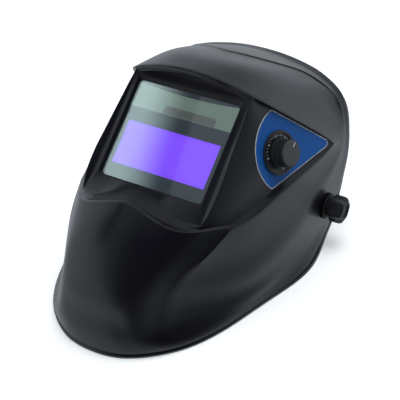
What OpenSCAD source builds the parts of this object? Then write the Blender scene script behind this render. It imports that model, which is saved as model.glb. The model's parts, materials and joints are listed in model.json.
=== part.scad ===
/* [Shell] */
// Wall thickness of the moulded shell
wall = 3; // [2.5:0.5:4]
// Angle between the lens plane and upright when the shell stands on its lower rim
lean = 48.5; // [48:0.5:49]
// Distance of the lens window's centre behind the middle of the footprint
lens_setback = -56.6; // [-60:0.1:-50]
// Mesh pieces between neighbouring control columns of the skin
column_steps = 4; // [2:1:4]
// Mesh pieces between neighbouring control rings of the skin
ring_steps = 3; // [1:1:3]

/* [Lens stack] */
// Width of the filter cartridge
cartridge_w = 110; // [108:1:110]
// Height of the filter cartridge
cartridge_h = 90; // [88:1:90]
// Width of the liquid crystal window
view_w = 98; // [94:1:98]
// Height of the liquid crystal window
view_h = 43; // [40:1:43]
// Height of the cartridge's centre above the window's centre
cartridge_up = 15; // [14:1:16]

/* [Shade control] */
// Diameter of the printed dial ring
dial_d = 42; // [40:1:43]
// Diameter of the shade knob
shade_knob_d = 26; // [24:1:27]
// Height of the shade knob's face above the side panel
shade_knob_h = 16.5; // [14:0.5:18]

/* [Pivot] */
// Distance of the pivot axis behind the lens window's centre
pivot_back = 155; // [153:1:157]
// Height of the pivot axis above the lens window's centre
pivot_up = 32.5; // [31:0.5:34]
// Radius of the pivot bolt's shank
bolt_r = 5; // [4.5:0.25:5.5]
// Largest diameter of the lobed pivot knob
pivot_knob_d = 28; // [26:1:29]
// Outer end of the pivot knob, measured from the middle of the helmet
pivot_knob_end = 132; // [130:1:134]

/* [Headgear] */
// Inside radius of the headband's round front and back
band_r = 77; // [76:0.5:78]
// Length of the headband's straight sides
band_straight = 35; // [34:1:36]
// Slope of the stored headgear, front end up
stored_tilt = 5; // [4:0.5:6]
// Height of the rear size bands
rear_band_h = 26; // [24:1:26]
// Radius of the ratchet's pinion
pinion_r = 6.3; // [6:0.1:6.3]
// Diameter of the ratchet knob
ratchet_knob_d = 50; // [44:1:50]

/* [Hidden] */
$fn = 64;

run = 0.05;          // radial clearance of every turning fit
gap = 0.1;           // play between pieces that only touch

// Upward direction of the bench under the standing helmet, in the lens frame
bench_up = [0, -sin(lean), cos(lean)];
// Middle of the chin's lip, in the lens frame
chin_tip = [0, 13.3, -189.5];
lens_height = -chin_tip * bench_up;

// ---- frames: lens frame (x = wearer's left, y = back, z = up the lens), panel frame, head frame
module at_lens() { translate([0, lens_setback, lens_height]) rotate([-lean, 0, 0]) children(); }

panel_azimuth = -23.95;
panel_rise = 3.84;
dial_centre = [85.1, 43.3, 41.7];
// Panel frame: z = out of the side panel, y = back, -x = up, origin at the dial's centre
module at_dial() {
    at_lens() translate(dial_centre) rotate([0, 90 - panel_rise, panel_azimuth]) children();
}

pivot_row = [0, lens_setback + pivot_back * cos(lean) + pivot_up * sin(lean),
    lens_height - pivot_back * sin(lean) + pivot_up * cos(lean)];
// Head frame: origin on the pivot axis, y = back of the head, z = top of the head
module at_head() { translate(pivot_row) rotate([-stored_tilt, 0, 0]) children(); }

module both_sides() { children(); mirror([1, 0, 0]) children(); }

// ---- shell skin: rings of control points around the lens, left half from top centre to bottom centre
panel_normal = [cos(panel_rise) * cos(panel_azimuth), cos(panel_rise) * sin(panel_azimuth),
    sin(panel_rise)];
// Point of the flat side panel at a given depth and height
function on_panel(y, z) = [dial_centre.x - (panel_normal.y * (y - dial_centre.y)
    + panel_normal.z * (z - dial_centre.z)) / panel_normal.x, y, z];

// Point of the lower rim: sideways, back from the chin's tip, and above the bench
function on_rim(x, back, up) = [x, chin_tip.y + back * bench_up.z - up * sin(lean),
    chin_tip.z + back * sin(lean) + up * bench_up.z];

ring_opening = [[0, -5, 63.5], [32, -5, 63.5], [55.5, -5, 63.5], [55.5, -5, 50], [55.5, -5, 5],
    [55.5, -5, -12], [55.5, -5, -24], [55.5, -5, -32], [55.5, -5, -37.5], [42, -5.5, -37.5],
    [25, -6.5, -37.5], [12, -7.5, -37.5], [0, -8, -37.5]];
ring_bezel = [[0, -5, 68.5], [32, -5, 68.5], [60.5, -5, 68.5], [60.9, -5, 54], [61.3, -5, 5],
    [61.6, -5, -15], [61.8, -5, -32], [62, -5, -44], [62, -5, -54], [42, -12, -56.2],
    [27, -15.5, -50.8], [12, -15.5, -43.6], [0, -14.5, -41.3]];
ring_flank = [[0, -21, 72], [32, -17, 70.8], [60.9, -5.3, 69], on_panel(1, 54), on_panel(1, 5),
    on_panel(0, -15), [68.5, 0, -32], [65, -2, -45], [63, -4.5, -55.5], [43.5, -19, -64.5],
    [27, -26, -62.3], [12, -29.5, -58.3], [0, -30.5, -56.3]];
ring_panel_foot = [[0, -22, 73.2], [32, -18, 71.9], [61.2, -5.6, 69.7], on_panel(17.6, 73.3),
    on_panel(104.5, 82.8), on_panel(75.7, 42.6), on_panel(52.7, 10.6), on_panel(35.7, -14.4),
    on_panel(18.5, -39.6), [45, -20.5, -65.8], [27, -28, -64], [12, -31.3, -60], [0, -32.3, -58]];
ring_step = [[0, -23, 75.6], [32, -19, 74.3], [62.5, -6, 71.5], [84.3, 37.3, 76.6],
    [111.4, 106.8, 82.8], [104.4, 72.7, 34.6], [97.9, 50.7, 3.6], [91.7, 35.2, -21.1],
    [82, 17, -44], [46, -22.5, -68], [27, -30, -66], [12, -33.3, -62], [0, -34.5, -60]];
ring_body = [[0, -4, 96], [33, 2, 97.5], [65, 30, 101], [85, 70, 105], [110, 124, 93],
    [107, 100, 32], [102, 80, -12], [94, 60, -45], [70, 8, -75], [40, -27, -86], [24, -33.5, -84],
    [11, -36.5, -82], [0, -37.5, -81.5]];
ring_crease = [[0, 30, 121], [34, 52, 129], [72, 94, 138.5], [90, 108, 133], [109.5, 131, 99],
    [110, 120, 30], [107, 100, -22], [98, 72, -65], [60, 2, -108], [38, -26, -112],
    [24, -31.5, -112], [11, -34.5, -112], [0, -35.5, -112]];
ring_facet = [[0, 62, 139.5], [36, 78, 143], [72, 101, 142.5], [91, 110.5, 135],
    [109.2, 134, 101.5], [110.5, 138, 30], [108, 116, -29], [99, 82, -75], [55, 10, -136],
    [35, -16.5, -143], [23, -22, -144], [11, -24, -145], [0, -24.5, -145]];
ring_riser = [[0, 98, 156], [38, 104, 154.5], [72, 107, 146], [92, 113, 136], [109, 138, 104],
    [110.8, 155, 30], [109, 126, -33], [102, 88, -80], [54, 17, -152], [36, -3.5, -160],
    [24, -7.5, -161], [11, -9.5, -162], [0, -10, -162]];
ring_rear_band = [[0, 104, 161.5], [39, 110, 160.5], [74, 113, 151.5], [94, 118, 140.5],
    [109.5, 143, 107], [110.8, 172, 28], [111, 134, -36], [103, 94, -82], [56, 21, -161],
    [38, 6, -170], [25, 1, -173], [12, -1, -174.5], [0, -1.5, -175]];
ring_rim = [[0, 150, 163], [42, 150, 160], [79, 151, 145.5], [100, 155, 121.5], [108.6, 169, 83],
    on_rim(110.5, 278, 6), on_rim(121, 203, 0.8), on_rim(108.5, 140, 0.3), on_rim(60, 30.5, 0),
    on_rim(42, 13.5, 0), on_rim(27, 4.4, 0), on_rim(13, 0.8, 0), on_rim(0, 0, 0)];
rings = [ring_opening, ring_bezel, ring_flank, ring_panel_foot, ring_step, ring_body, ring_crease,
    ring_facet, ring_riser, ring_rear_band, ring_rim];
columns = len(ring_opening);
top_corner = 2;      // column through the bezel's upper corner
panel_start = 3;     // first column whose flank and foot lie in the side panel's plane
panel_tip = 4;       // column through the side panel's pointed rear end
low_corner = 8;      // column through the bezel's lower corner and down the chin ridge
heel = 5;            // column that meets the rim at its lower rear corner
last_sharp = 4;      // rings up to the step are crisp edges
crease_ring = 6;
// How crisp each column is where it crosses the crown's crease and the rear band's riser
crown_crisp = [1, 1, 1, 0.5, 0, 0, 0, 0, 0, 0, 0, 0, 0];

// Sharpness of a ring's line where it crosses column k
function across_crisp(r, k) = k == low_corner || (r < last_sharp && k == top_corner) ? 1
    : (r == 2 || r == 3) && k == panel_start ? 1
    : (r == 3 || r == 4) && k == panel_tip ? 0.75
    : r == len(rings) - 1 && k == heel ? 0.8 : 0;
// Sharpness of column k where it crosses ring r
function along_crisp(r, k) = r <= last_sharp ? 1
    : r == crease_ring || r == crease_ring + 2 || r == crease_ring + 3 ? crown_crisp[k] : 0;

function mirror_x(p) = [-p.x, p.y, p.z];
// Slope at point i of a line, one-sided where the line is crisp
function slope(line, crisp, i, side, closed) = let (
    n = len(line) - 1,
    before = i > 0 ? line[i - 1] : closed ? mirror_x(line[1]) : line[0] * 2 - line[1],
    after = i < n ? line[i + 1] : closed ? mirror_x(line[n - 1]) : line[n] * 2 - line[n - 1],
    into = norm(line[i] - before),
    out = norm(after - line[i]),
    a = (line[i] - before) / into,
    b = (after - line[i]) / out,
    smooth = (a * out + b * into) / (into + out)
) smooth * (1 - crisp[i]) + (side < 0 ? a : b) * crisp[i];
// Cubic through a line's point i at t = 0 and point i + 1 at t = 1
function cubic(line, crisp, i, t, closed) = let (
    reach = norm(line[i + 1] - line[i]),
    m0 = slope(line, crisp, i, 1, closed) * reach,
    m1 = slope(line, crisp, i + 1, -1, closed) * reach
) line[i] * (2 * t ^ 3 - 3 * t ^ 2 + 1) + m0 * (t ^ 3 - 2 * t ^ 2 + t)
    + line[i + 1] * (3 * t ^ 2 - 2 * t ^ 3) + m1 * (t ^ 3 - t ^ 2);
function blend_list(list, x) = let (i = min(floor(x), len(list) - 2)) list[i] * (1 - x + i)
    + list[i + 1] * (x - i);

// Points along one ring, left half
function half_ring(r, net) = let (crisp = [for (k = [0 : columns - 1]) across_crisp(r, k)])
    [for (k = [0 : columns - 2], s = [0 : column_steps - 1])
        cubic(net[r], crisp, k, s / column_steps, true), net[r][columns - 1]];
// Points along one column, from the opening to the rim
function column(line, crisp) = [for (r = [0 : len(line) - 2],
        s = [0 : (r < last_sharp ? 1 : ring_steps) - 1])
    cubic(line, crisp, r, s / (r < last_sharp ? 1 : ring_steps), false), line[len(line) - 1]];
function half_skin(net) = let (
    lines = [for (r = [0 : len(net) - 1]) half_ring(r, net)],
    count = len(lines[0])
) [for (j = [0 : count - 1]) let (x = j / column_steps)
    column([for (r = [0 : len(net) - 1]) lines[r][j]],
        [for (r = [0 : len(net) - 1])
            blend_list([for (k = [0 : columns - 1]) along_crisp(r, k)], x)])];
// The whole skin: left half, then its mirror image from bottom centre back to top centre
function full_skin(half) = concat(half,
    [for (j = [len(half) - 2 : -1 : 1]) [for (p = half[j]) mirror_x(p)]]);

// Outward direction at a control point; the stepped rings share one wide, smooth estimate
function outward(r, k) = let (
    ahead = r >= 2 && r <= last_sharp ? last_sharp + 1 : min(r + 1, len(rings) - 1),
    behind = r >= 2 && r <= last_sharp ? 1 : max(r - 1, 0),
    along = rings[ahead][k] - rings[behind][k],
    left = k < columns - 1 ? rings[r][k + 1] : mirror_x(rings[r][columns - 2]),
    right = k > 0 ? rings[r][k - 1] : mirror_x(rings[r][1]),
    n = cross(left - right, along),
    // The rim is cut level with the bench, so its wall is measured along the bench
    level = r == len(rings) - 1 && k >= heel ? n - bench_up * (n * bench_up) : n
) level / norm(level);
inner_net = [for (r = [0 : len(rings) - 1]) [for (k = [0 : columns - 1])
    let (q = rings[r][k] - outward(r, k) * wall)
    (k == 0 || k == columns - 1) ? [0, q.y, q.z] : q]];

module shell_skin() {
    outer = full_skin(half_skin(rings));
    inner = full_skin(half_skin(inner_net));
    across = len(outer);
    deep = len(outer[0]);
    inside = across * deep;
    function id(layer, j, i) = layer * inside + (j % across) * deep + i;
    points = [for (layer = [outer, inner], line = layer) each line];
    // Outer skin, inner skin turned to face inwards, then the opening's edge and the rim's edge
    faces = [for (j = [0 : across - 1]) each concat(
        [for (i = [0 : deep - 2]) each [
            [id(0, j, i), id(0, j + 1, i + 1), id(0, j + 1, i)],
            [id(0, j, i), id(0, j, i + 1), id(0, j + 1, i + 1)],
            [id(1, j, i), id(1, j + 1, i), id(1, j + 1, i + 1)],
            [id(1, j, i), id(1, j + 1, i + 1), id(1, j, i + 1)]]],
        [[id(0, j, 0), id(1, j + 1, 0), id(1, j, 0)],
            [id(0, j, 0), id(0, j + 1, 0), id(1, j + 1, 0)],
            [id(0, j, deep - 1), id(1, j, deep - 1), id(1, j + 1, deep - 1)],
            [id(0, j, deep - 1), id(1, j + 1, deep - 1), id(0, j + 1, deep - 1)]])];
    polyhedron(points = points, faces = faces, convexity = 8);
}

bushing_r = 3.5;     // threaded neck of the potentiometer
shaft_r = 3;
module shell() {
    color("#26282b") difference() {
        at_lens() shell_skin();
        translate([0, pivot_row.y, pivot_row.z]) rotate([0, 90, 0])
            cylinder(r = bolt_r + run, h = 260, center = true);
        at_dial() translate([0, 0, -8]) cylinder(r = bushing_r + run, h = 16);
    }
}

// ---- lens stack, drawn in the lens frame
module plate(w, y0, y1, z0, z1) { translate([-w / 2, y0, z0]) cube([w, y1 - y0, z1 - z0]); }

cart_lo = cartridge_up - cartridge_h / 2;
cart_hi = cartridge_up + cartridge_h / 2;
front_y = 0.2;       // front face of the cartridge
seam_y = 4;          // where the cartridge's halves meet
back_y = 10;         // rear face of the cartridge
case_wall = 1.5;
tab_x = [-19.4, 35.4];
tab_z = [36, 44];
small_knob_x = 18;   // sensitivity and delay knobs, either side of the middle
small_knob_z = 42;
button_r = 3;

module rounded_slot(x, z, r, y0, y1) {
    translate([0, y1, 0]) rotate([90, 0, 0]) linear_extrude(y1 - y0)
        translate([x[0] + r, z[0] + r]) offset(r = r)
            square([x[1] - x[0] - 2 * r, z[1] - z[0] - 2 * r]);
}

module cover_lens() { color("#a9c5c0", 0.3) at_lens() plate(114, -1.4, -0.2, -39.5, 68); }

module adf_front() {
    color("#3b4149") at_lens() difference() {
        plate(cartridge_w, front_y, seam_y, cart_lo, cart_hi);
        plate(view_w, -1, seam_y + 1, -view_h / 2, view_h / 2);
        translate([tab_x[0], -1, tab_z[0]]) cube([tab_x[1] - tab_x[0], 3, tab_z[1] - tab_z[0]]);
        both_sides() translate([44, 3, 30]) rotate([90, 0, 0]) cylinder(r = 2, h = 1.5);
    }
}

module adf_back() {
    color("#303338") at_lens() difference() {
        plate(cartridge_w, seam_y, back_y, cart_lo, cart_hi);
        plate(view_w - 6, seam_y - 1, back_y + 1, -view_h / 2 + 3, view_h / 2 - 3);
        plate(cartridge_w - 2 * case_wall, seam_y - 1, back_y - case_wall, view_h / 2 + 1.5,
            cart_hi - case_wall);
        translate([50, 5, 29]) cube([10, 3.2, 24]);
        for (x = [-small_knob_x, small_knob_x]) translate([x, back_y + 1, small_knob_z])
            rotate([90, 0, 0]) cylinder(r = shaft_r - 1 + run, h = 4);
        translate([0, back_y + 1, small_knob_z]) rotate([90, 0, 0])
            cylinder(r = button_r + run, h = 4);
    }
}

module lcd_filter() {
    color("#8657ff") at_lens()
        plate(view_w - 2 * gap, 0.6, 3.9, -view_h / 2 + gap, view_h / 2 - gap);
}

module solar_cell() {
    color("#5a5c5c") at_lens() translate([tab_x[0] + gap, front_y, tab_z[0] + gap])
        cube([tab_x[1] - tab_x[0] - 2 * gap, 1.6, tab_z[1] - tab_z[0] - 2 * gap]);
}

module arc_sensors() {
    color("#101012") at_lens() both_sides() translate([44, 2.9, 30]) rotate([90, 0, 0])
        cylinder(r = 1.9, h = 1.3);
}

module circuit_board() { color("#1e6b3c") at_lens() plate(46, 4.4, 6, 25, 56); }

module cell(x) { translate([x, 7.8, 41]) rotate([90, 0, 0]) cylinder(r = 10, h = 2.6); }
module fixed_cell() { color("#b9bcc0") at_lens() cell(-38); }
module coin_cell() { color("#b9bcc0") at_lens() cell(38); }

module battery_tray() {
    color("#1b1c1f") at_lens() difference() {
        translate([26, 5.1, 29.2]) cube([29.6, 2.9, 23.6]);
        translate([38, 9, 41]) rotate([90, 0, 0]) cylinder(r = 10.1, h = 5);
    }
}

module inner_cover_lens() {
    color("#b9d2e0", 0.3) at_lens() plate(104, back_y + gap, back_y + 1.1, -27.5, 27.5);
}

// Frame that wraps the cartridge and holds it against the shell, with posts for its latches
latch_x = 53.5;
latch_z = 6;
post_r = 2;
module adf_retainer() {
    color("#2a2c30") at_lens() {
        difference() {
            plate(cartridge_w + 6, -0.1, 12.6, cart_lo - 7, cart_hi + 3);
            plate(cartridge_w + 2 * gap, -1, back_y + 1.2, cart_lo - gap, cart_hi + gap);
            plate(cartridge_w - 12, 0, 20, cart_lo + 3, cart_hi - 3);
            translate([50, 4.5, 28.5]) cube([20, 4.2, 25]);
            translate([cartridge_w / 2 + 2, 4.5, 31]) cube([5, 20, 4]);
        }
        both_sides() translate([latch_x, 16.4, latch_z]) rotate([90, 0, 0])
            cylinder(r = post_r, h = 3.9);
    }
}

// Turn-button latch: an eye on the retainer's post and a finger that lies over the inner lens
module latch() {
    difference() {
        union() {
            translate([latch_x, 15.6, latch_z]) rotate([90, 0, 0]) cylinder(r = 4.2, h = 2.8);
            translate([latch_x - 18, 12.8, latch_z - 3.2]) cube([18, 2.8, 6.4]);
        }
        translate([latch_x, 17, latch_z]) rotate([90, 0, 0]) cylinder(r = post_r + run, h = 5);
    }
}
module latch_left() { color("#4a4d52") at_lens() latch(); }
module latch_right() { color("#4a4d52") at_lens() mirror([1, 0, 0]) latch(); }

// Small knob on the cartridge's back with its stub shaft
module small_knob(x) {
    translate([x, 16.5, small_knob_z]) rotate([90, 0, 0]) difference() {
        union() {
            cylinder(d = 14, h = 6.2);
            cylinder(r = shaft_r - 1, h = 9.4);
        }
        translate([-0.8, -8, -1]) cube([1.6, 6, 2]);
    }
}
module sensitivity_knob() { color("#17181a") at_lens() small_knob(-small_knob_x); }
module delay_knob() { color("#17181a") at_lens() small_knob(small_knob_x); }
module test_button() {
    color("#b8472e") at_lens() translate([0, 13, small_knob_z]) rotate([90, 0, 0])
        cylinder(r = button_r, h = 4.6);
}

// ---- shade control, drawn in the panel frame
module shade_pot() {
    color("#6f7277") at_dial() difference() {
        union() {
            translate([-8.5, -8.5, -wall - 10]) cube([17, 17, 8.4]);
            translate([0, 0, -wall - 2]) cylinder(r = bushing_r, h = wall + 5);
        }
        translate([0, 0, -wall - 9]) cylinder(r = shaft_r + run, h = 20);
    }
}

module pot_nut() {
    color("#c9ccd1") at_dial() difference() {
        translate([0, 0, 0.8]) cylinder(d = 12, h = 1.9, $fn = 6);
        cylinder(r = bushing_r + run, h = 8, center = true);
    }
}

module pot_shaft() {
    color("#b9bcc0") at_dial() translate([0, 0, -wall - 8]) cylinder(r = shaft_r, h = wall + 21);
}

// Wire from the potentiometer's box to the cartridge: one arc that sags off its chord
cable_from = [73.1, 37.9, 41.1];
cable_to = [58.3, 6.6, 33];
cable_r = 1;
cable_sag = 2.2;
cable_roll = -40;
module pot_cable() {
    run = cable_to - cable_from;
    bend_r = (pow(norm(run) / 2, 2) + pow(cable_sag, 2)) / (2 * cable_sag);
    sweep = 2 * asin(norm(run) / 2 / bend_r);
    color("#0f1011") at_lens() translate((cable_from + cable_to) / 2)
        rotate([0, acos(run.z / norm(run)), atan2(run.y, run.x)]) rotate([0, 0, cable_roll])
        translate([cable_sag - bend_r, 0, 0]) rotate([90, 0, 0]) rotate([0, 0, -sweep / 2])
        rotate_extrude(angle = sweep) translate([bend_r, 0]) circle(r = cable_r);
}

module shade_knob() {
    color("#45484b") at_dial() difference() {
        union() {
            translate([0, 0, 3.4]) cylinder(d = shade_knob_d, h = shade_knob_h - 3.4);
            translate([0, 0, 3.4]) cylinder(d = shade_knob_d + 2, h = 2);
        }
        translate([0, 0, 2]) cylinder(r = shaft_r + gap, h = shade_knob_h - 4.5);
        translate([-0.7, -shade_knob_d / 2 - 1, shade_knob_h - 0.6]) cube([1.4, 8, 2]);
    }
}

module dial_ring() {
    color("#121316") at_dial() translate([0, 0, 0.75]) difference() {
        cylinder(d = dial_d, h = 2.4);
        translate([0, 0, -1]) cylinder(d = 14, h = 5);
        translate([0, 0, 1.4]) cylinder(d = dial_d - 6, h = 5);
    }
}

// Rounded sector: an arc toward the lens, two straight edges and a tip toward the back
decal_arc = [10, 7, 36.5];
decal_tip = [56, 36];
decal_seat = 0.15;   // thickness of the glue under the decal
module decal_outline() {
    offset(r = 4) polygon(concat(
        [for (a = [146 : 6 : 266]) [-decal_arc[1] - decal_arc[2] * sin(a),
            decal_arc[0] + decal_arc[2] * cos(a)]],
        [[-decal_tip[1], decal_tip[0]]]));
}
module side_decal() {
    color("#1a4b85") at_dial() translate([0, 0, decal_seat]) linear_extrude(0.5) difference() {
        decal_outline();
        circle(r = 7.2);
    }
}

// ---- pivot, drawn along the row's x axis through the pivot
shell_out = 111.4;   // just outside the shell's wall at the pivot
shell_in = 107.2;    // just inside it
washer_t = 2.4;
module at_pivot() { translate(pivot_row) rotate([0, 90, 0]) children(); }

module ring(r, bore, x0, x1) {
    translate([0, 0, x0]) difference() {
        cylinder(r = r, h = x1 - x0);
        translate([0, 0, -1]) cylinder(r = bore, h = x1 - x0 + 2);
    }
}
module outer_washers() {
    color("#191a1c") both_sides() at_pivot()
        ring(13.5, bolt_r + run, shell_out, shell_out + washer_t);
}
module inner_washers() {
    color("#3a3c40") both_sides() at_pivot()
        ring(12, bolt_r + run, shell_in - 1.5, shell_in);
}

thread_r = 4;
block_x = [99.4, 105.5];
module pivot_bolts() {
    color("#2b2d31") both_sides() at_pivot() {
        translate([0, 0, block_x[0]]) cylinder(r = bolt_r, h = shell_out + washer_t - block_x[0]);
        translate([0, 0, block_x[0]]) cylinder(r = thread_r, h = 127 - block_x[0]);
    }
}

lobes = 6;
module pivot_knob() {
    at_pivot() difference() {
        union() {
            translate([0, 0, shell_out + washer_t + gap]) cylinder(d = 19, h = 4);
            translate([0, 0, 117]) cylinder(d = pivot_knob_d - 5, h = pivot_knob_end - 117);
            for (i = [0 : lobes - 1]) rotate([0, 0, i * 360 / lobes])
                translate([pivot_knob_d / 2 - 4.6, 0, 117])
                    cylinder(r = 4.6, h = pivot_knob_end - 117);
        }
        translate([0, 0, 100]) cylinder(r = thread_r + run, h = 28);
    }
}
module pivot_knob_left() { color("#141517") pivot_knob(); }
module pivot_knob_right() { color("#141517") mirror([1, 0, 0]) pivot_knob(); }

// Guide that carries the pivot bolt and runs along the headband's rail
rail_x = [95, 98];
rail_h = 14;
block_len = 30;
play = 0.15;
module slide_block() {
    difference() {
        translate(pivot_row) rotate([-stored_tilt, 0, 0]) difference() {
            translate([rail_x[0] - 2, -block_len / 2, -rail_h / 2 - 4])
                cube([block_x[1] - rail_x[0] + 2, block_len, rail_h + 8]);
            translate([rail_x[0] - play, -block_len, -rail_h / 2 - play])
                cube([rail_x[1] - rail_x[0] + 2 * play, 2 * block_len, rail_h + 2 * play]);
        }
        at_pivot() translate([0, 0, block_x[0]]) cylinder(r = bolt_r, h = 20);
    }
}
module slide_block_left() { color("#1f2023") slide_block(); }
module slide_block_right() { color("#1f2023") mirror([1, 0, 0]) slide_block(); }

// ---- headgear, drawn in the head frame
band_t = 1.8;
front_y0 = -15;                       // centre of the front bend
rear_y0 = front_y0 + band_straight;   // centre of the rear bend
arm_r = band_r + 2;                   // inside radius of the moulded headband
band_h = 28;

// Upright strip bent round the z axis, between two angles measured from +x
module bent_strip(r0, r1, z0, z1, a0, a1) {
    rotate([0, 0, a0]) rotate_extrude(angle = a1 - a0, $fn = 128)
        translate([r0, z0]) square([r1 - r0, z1 - z0]);
}

module headband() {
    color("#1d1f22") at_head() {
        translate([0, front_y0, 0])
            bent_strip(arm_r, arm_r + band_t, -band_h / 2, band_h / 2, 180, 360);
        both_sides() {
            translate([arm_r, front_y0 - 0.01, -9]) cube([band_t, 51, 18]);
            translate([rail_x[0], -46, -rail_h / 2]) cube([rail_x[1] - rail_x[0], 84, rail_h]);
            translate([arm_r - 1.5, -46, -8]) cube([rail_x[1] - arm_r + 1.5, 9, 16]);
            translate([arm_r + 0.5, 30, -8]) cube([rail_x[1] - arm_r - 0.5, 6, 16]);
        }
    }
}

module sweatband() {
    color("#3a3d42") at_head() translate([0, front_y0, 0])
        bent_strip(arm_r - 5, arm_r - gap, -17, 17, 212, 328);
}

strap_r = arm_r + band_t + 1;         // crown straps leave the outside of the side arms
strap_w = 20;
strap_base = 20;                      // height at which the straight ends start to bend
strap_t = 1.6;
// Side end and arch of one crown strap; lift is the layer it takes at the top
module crown_strap(lift, reach) {
    translate([0, front_y0 + 14, 0]) {
        translate([strap_r - 1 + gap + lift, -strap_w / 2, -7])
            cube([strap_t, strap_w, strap_base + 7]);
        translate([0, strap_w / 2, strap_base]) rotate([90, 0, 0])
            rotate_extrude(angle = reach, $fn = 128)
                translate([strap_r - 1 + gap + lift, 0]) square([strap_t, strap_w]);
    }
}
module crown_strap_left() { color("#1f2125") at_head() crown_strap(0, 104); }
module crown_strap_right() {
    color("#1f2125") at_head() mirror([1, 0, 0]) crown_strap(strap_t + gap, 104);
}
module strap_peg() {
    color("#2c2e33") at_head()
        translate([0, front_y0 + 14, strap_base + strap_r - 1 + 2 * strap_t + 3 * gap])
            cylinder(d = 9, h = 2);
}

// Rear size band: a strip in the side sleeve and a half-height rack through the ratchet
tail_gap = pinion_r + 0.2;
main_end = 50;
tail_end = 108;
module rear_band() {
    translate([0, rear_y0, 0]) difference() {
        bent_strip(band_r, band_r + 1.6, -rear_band_h / 2, rear_band_h / 2, -10, tail_end);
        bent_strip(band_r - 1, band_r + 3, -rear_band_h, tail_gap, main_end, tail_end + 5);
    }
}
module rear_band_left() { color("#202226") at_head() rear_band(); }
module rear_band_right() { color("#202226") at_head() rotate([0, 180, 0]) rear_band(); }

housing_half = 28;                    // half of the angle that the ratchet housing covers
housing_out = band_r + 6;
module ratchet_housing() {
    color("#191b1e") at_head() translate([0, rear_y0, 0]) difference() {
        bent_strip(band_r - 2, housing_out, -18, 18, 90 - housing_half, 90 + housing_half);
        bent_strip(band_r - 0.4, band_r + 2.2, -rear_band_h / 2 - 0.5, rear_band_h / 2 + 0.5,
            80 - housing_half, 100 + housing_half);
        translate([0, housing_out + 5, 0]) rotate([90, 0, 0]) cylinder(r = shaft_r + run, h = 10);
    }
}

module ratchet_pinion() {
    color("#c9ccd1") at_head() translate([0, rear_y0 + housing_out + 6, 0]) rotate([90, 0, 0]) {
        cylinder(r = shaft_r, h = 11);
        translate([0, 0, 10.5]) cylinder(r = pinion_r, h = 1.3);
    }
}

grips = 10;
module ratchet_knob() {
    color("#141517") at_head() translate([0, rear_y0 + housing_out + 0.5, 0]) rotate([-90, 0, 0])
        difference() {
            cylinder(d = ratchet_knob_d, h = 14);
            translate([0, 0, -1]) cylinder(r = shaft_r + run, h = 8);
            for (i = [0 : grips - 1]) rotate([0, 0, i * 360 / grips])
                translate([ratchet_knob_d / 2 + 1, 0, 4]) cylinder(r = 4, h = 12);
        }
}

module rear_pad() {
    color("#3a3d42") at_head() translate([0, rear_y0, 0])
        bent_strip(band_r - 8, band_r - 2 - gap, -20, 20, 66, 114);
}

shell();
cover_lens();
adf_front();
adf_back();
lcd_filter();
solar_cell();
arc_sensors();
circuit_board();
fixed_cell();
coin_cell();
battery_tray();
inner_cover_lens();
adf_retainer();
latch_left();
latch_right();
sensitivity_knob();
delay_knob();
test_button();
shade_pot();
pot_nut();
pot_shaft();
pot_cable();
shade_knob();
dial_ring();
side_decal();
outer_washers();
inner_washers();
pivot_bolts();
pivot_knob_left();
pivot_knob_right();
slide_block_left();
slide_block_right();
headband();
sweatband();
crown_strap_left();
crown_strap_right();
strap_peg();
rear_band_left();
rear_band_right();
ratchet_housing();
ratchet_pinion();
ratchet_knob();
rear_pad();
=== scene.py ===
"""Looks of a welding helmet: its moulded shell, lens stack, shade control, pivots and headgear, on a pale floor."""
import json
import math

import bmesh
import bpy
import numpy as np
from mathutils import Matrix, Vector


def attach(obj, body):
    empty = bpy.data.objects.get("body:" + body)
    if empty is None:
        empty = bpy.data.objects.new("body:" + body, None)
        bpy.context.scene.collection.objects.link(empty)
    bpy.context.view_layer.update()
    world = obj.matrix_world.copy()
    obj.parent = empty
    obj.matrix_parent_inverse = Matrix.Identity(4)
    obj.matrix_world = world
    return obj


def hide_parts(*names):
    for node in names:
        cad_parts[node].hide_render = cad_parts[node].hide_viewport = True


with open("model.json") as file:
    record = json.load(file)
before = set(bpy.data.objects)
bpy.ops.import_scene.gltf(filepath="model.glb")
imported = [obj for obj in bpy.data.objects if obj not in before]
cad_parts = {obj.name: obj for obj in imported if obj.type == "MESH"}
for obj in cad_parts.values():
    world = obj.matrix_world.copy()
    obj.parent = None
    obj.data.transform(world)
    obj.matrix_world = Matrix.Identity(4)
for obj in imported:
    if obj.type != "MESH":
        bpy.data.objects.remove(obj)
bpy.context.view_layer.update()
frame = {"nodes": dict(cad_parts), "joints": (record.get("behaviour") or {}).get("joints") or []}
nodes = frame["nodes"]
joints = {j["name"]: j for j in frame["joints"]}
MM = 0.001
ROOM_DARK = (0.66, -0.57, 0.35)      # direction of the room's dark part, where the camera stands
ROOM_LIGHT = 0.85
ROOM_COLOUR = (0.86, 0.93, 1.0)
FLOOR_BOUNCE = 0.66
FLOOR_LIFT = 0.30    # light added to the paper as the camera sees it
CARD_FULL, CARD_NONE = -628, -520    # where the reflector card's light starts and stops fading
CARD_LIGHT = 4.6
CARD_TURN = 0.09     # the card's lean in its own plane, in radians
PAINTED_GLOW = 0.26    # painted light: glow given to the printed face behind the clear cover and to the solar window, in place of the light that reaches them
SOLAR_LOW, REFLECTION_EDGE = 35.6, 57.0   # height of the pale zone on the cartridge's face; its top, at the centre, is the lower edge of the painted reflection above it
REFLECTION_CURVE = 1.1     # curve of the dark band above it, a painted reflection of the brow's underside in the clear cover

# ---------------------------------------------------------------- frames of the object's parts

def basis(x, y, z, origin):
    """4x4 matrix with these unit vectors as its columns."""
    m = Matrix((x, y, z)).transposed().to_4x4()
    m.translation = origin
    return m


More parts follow.
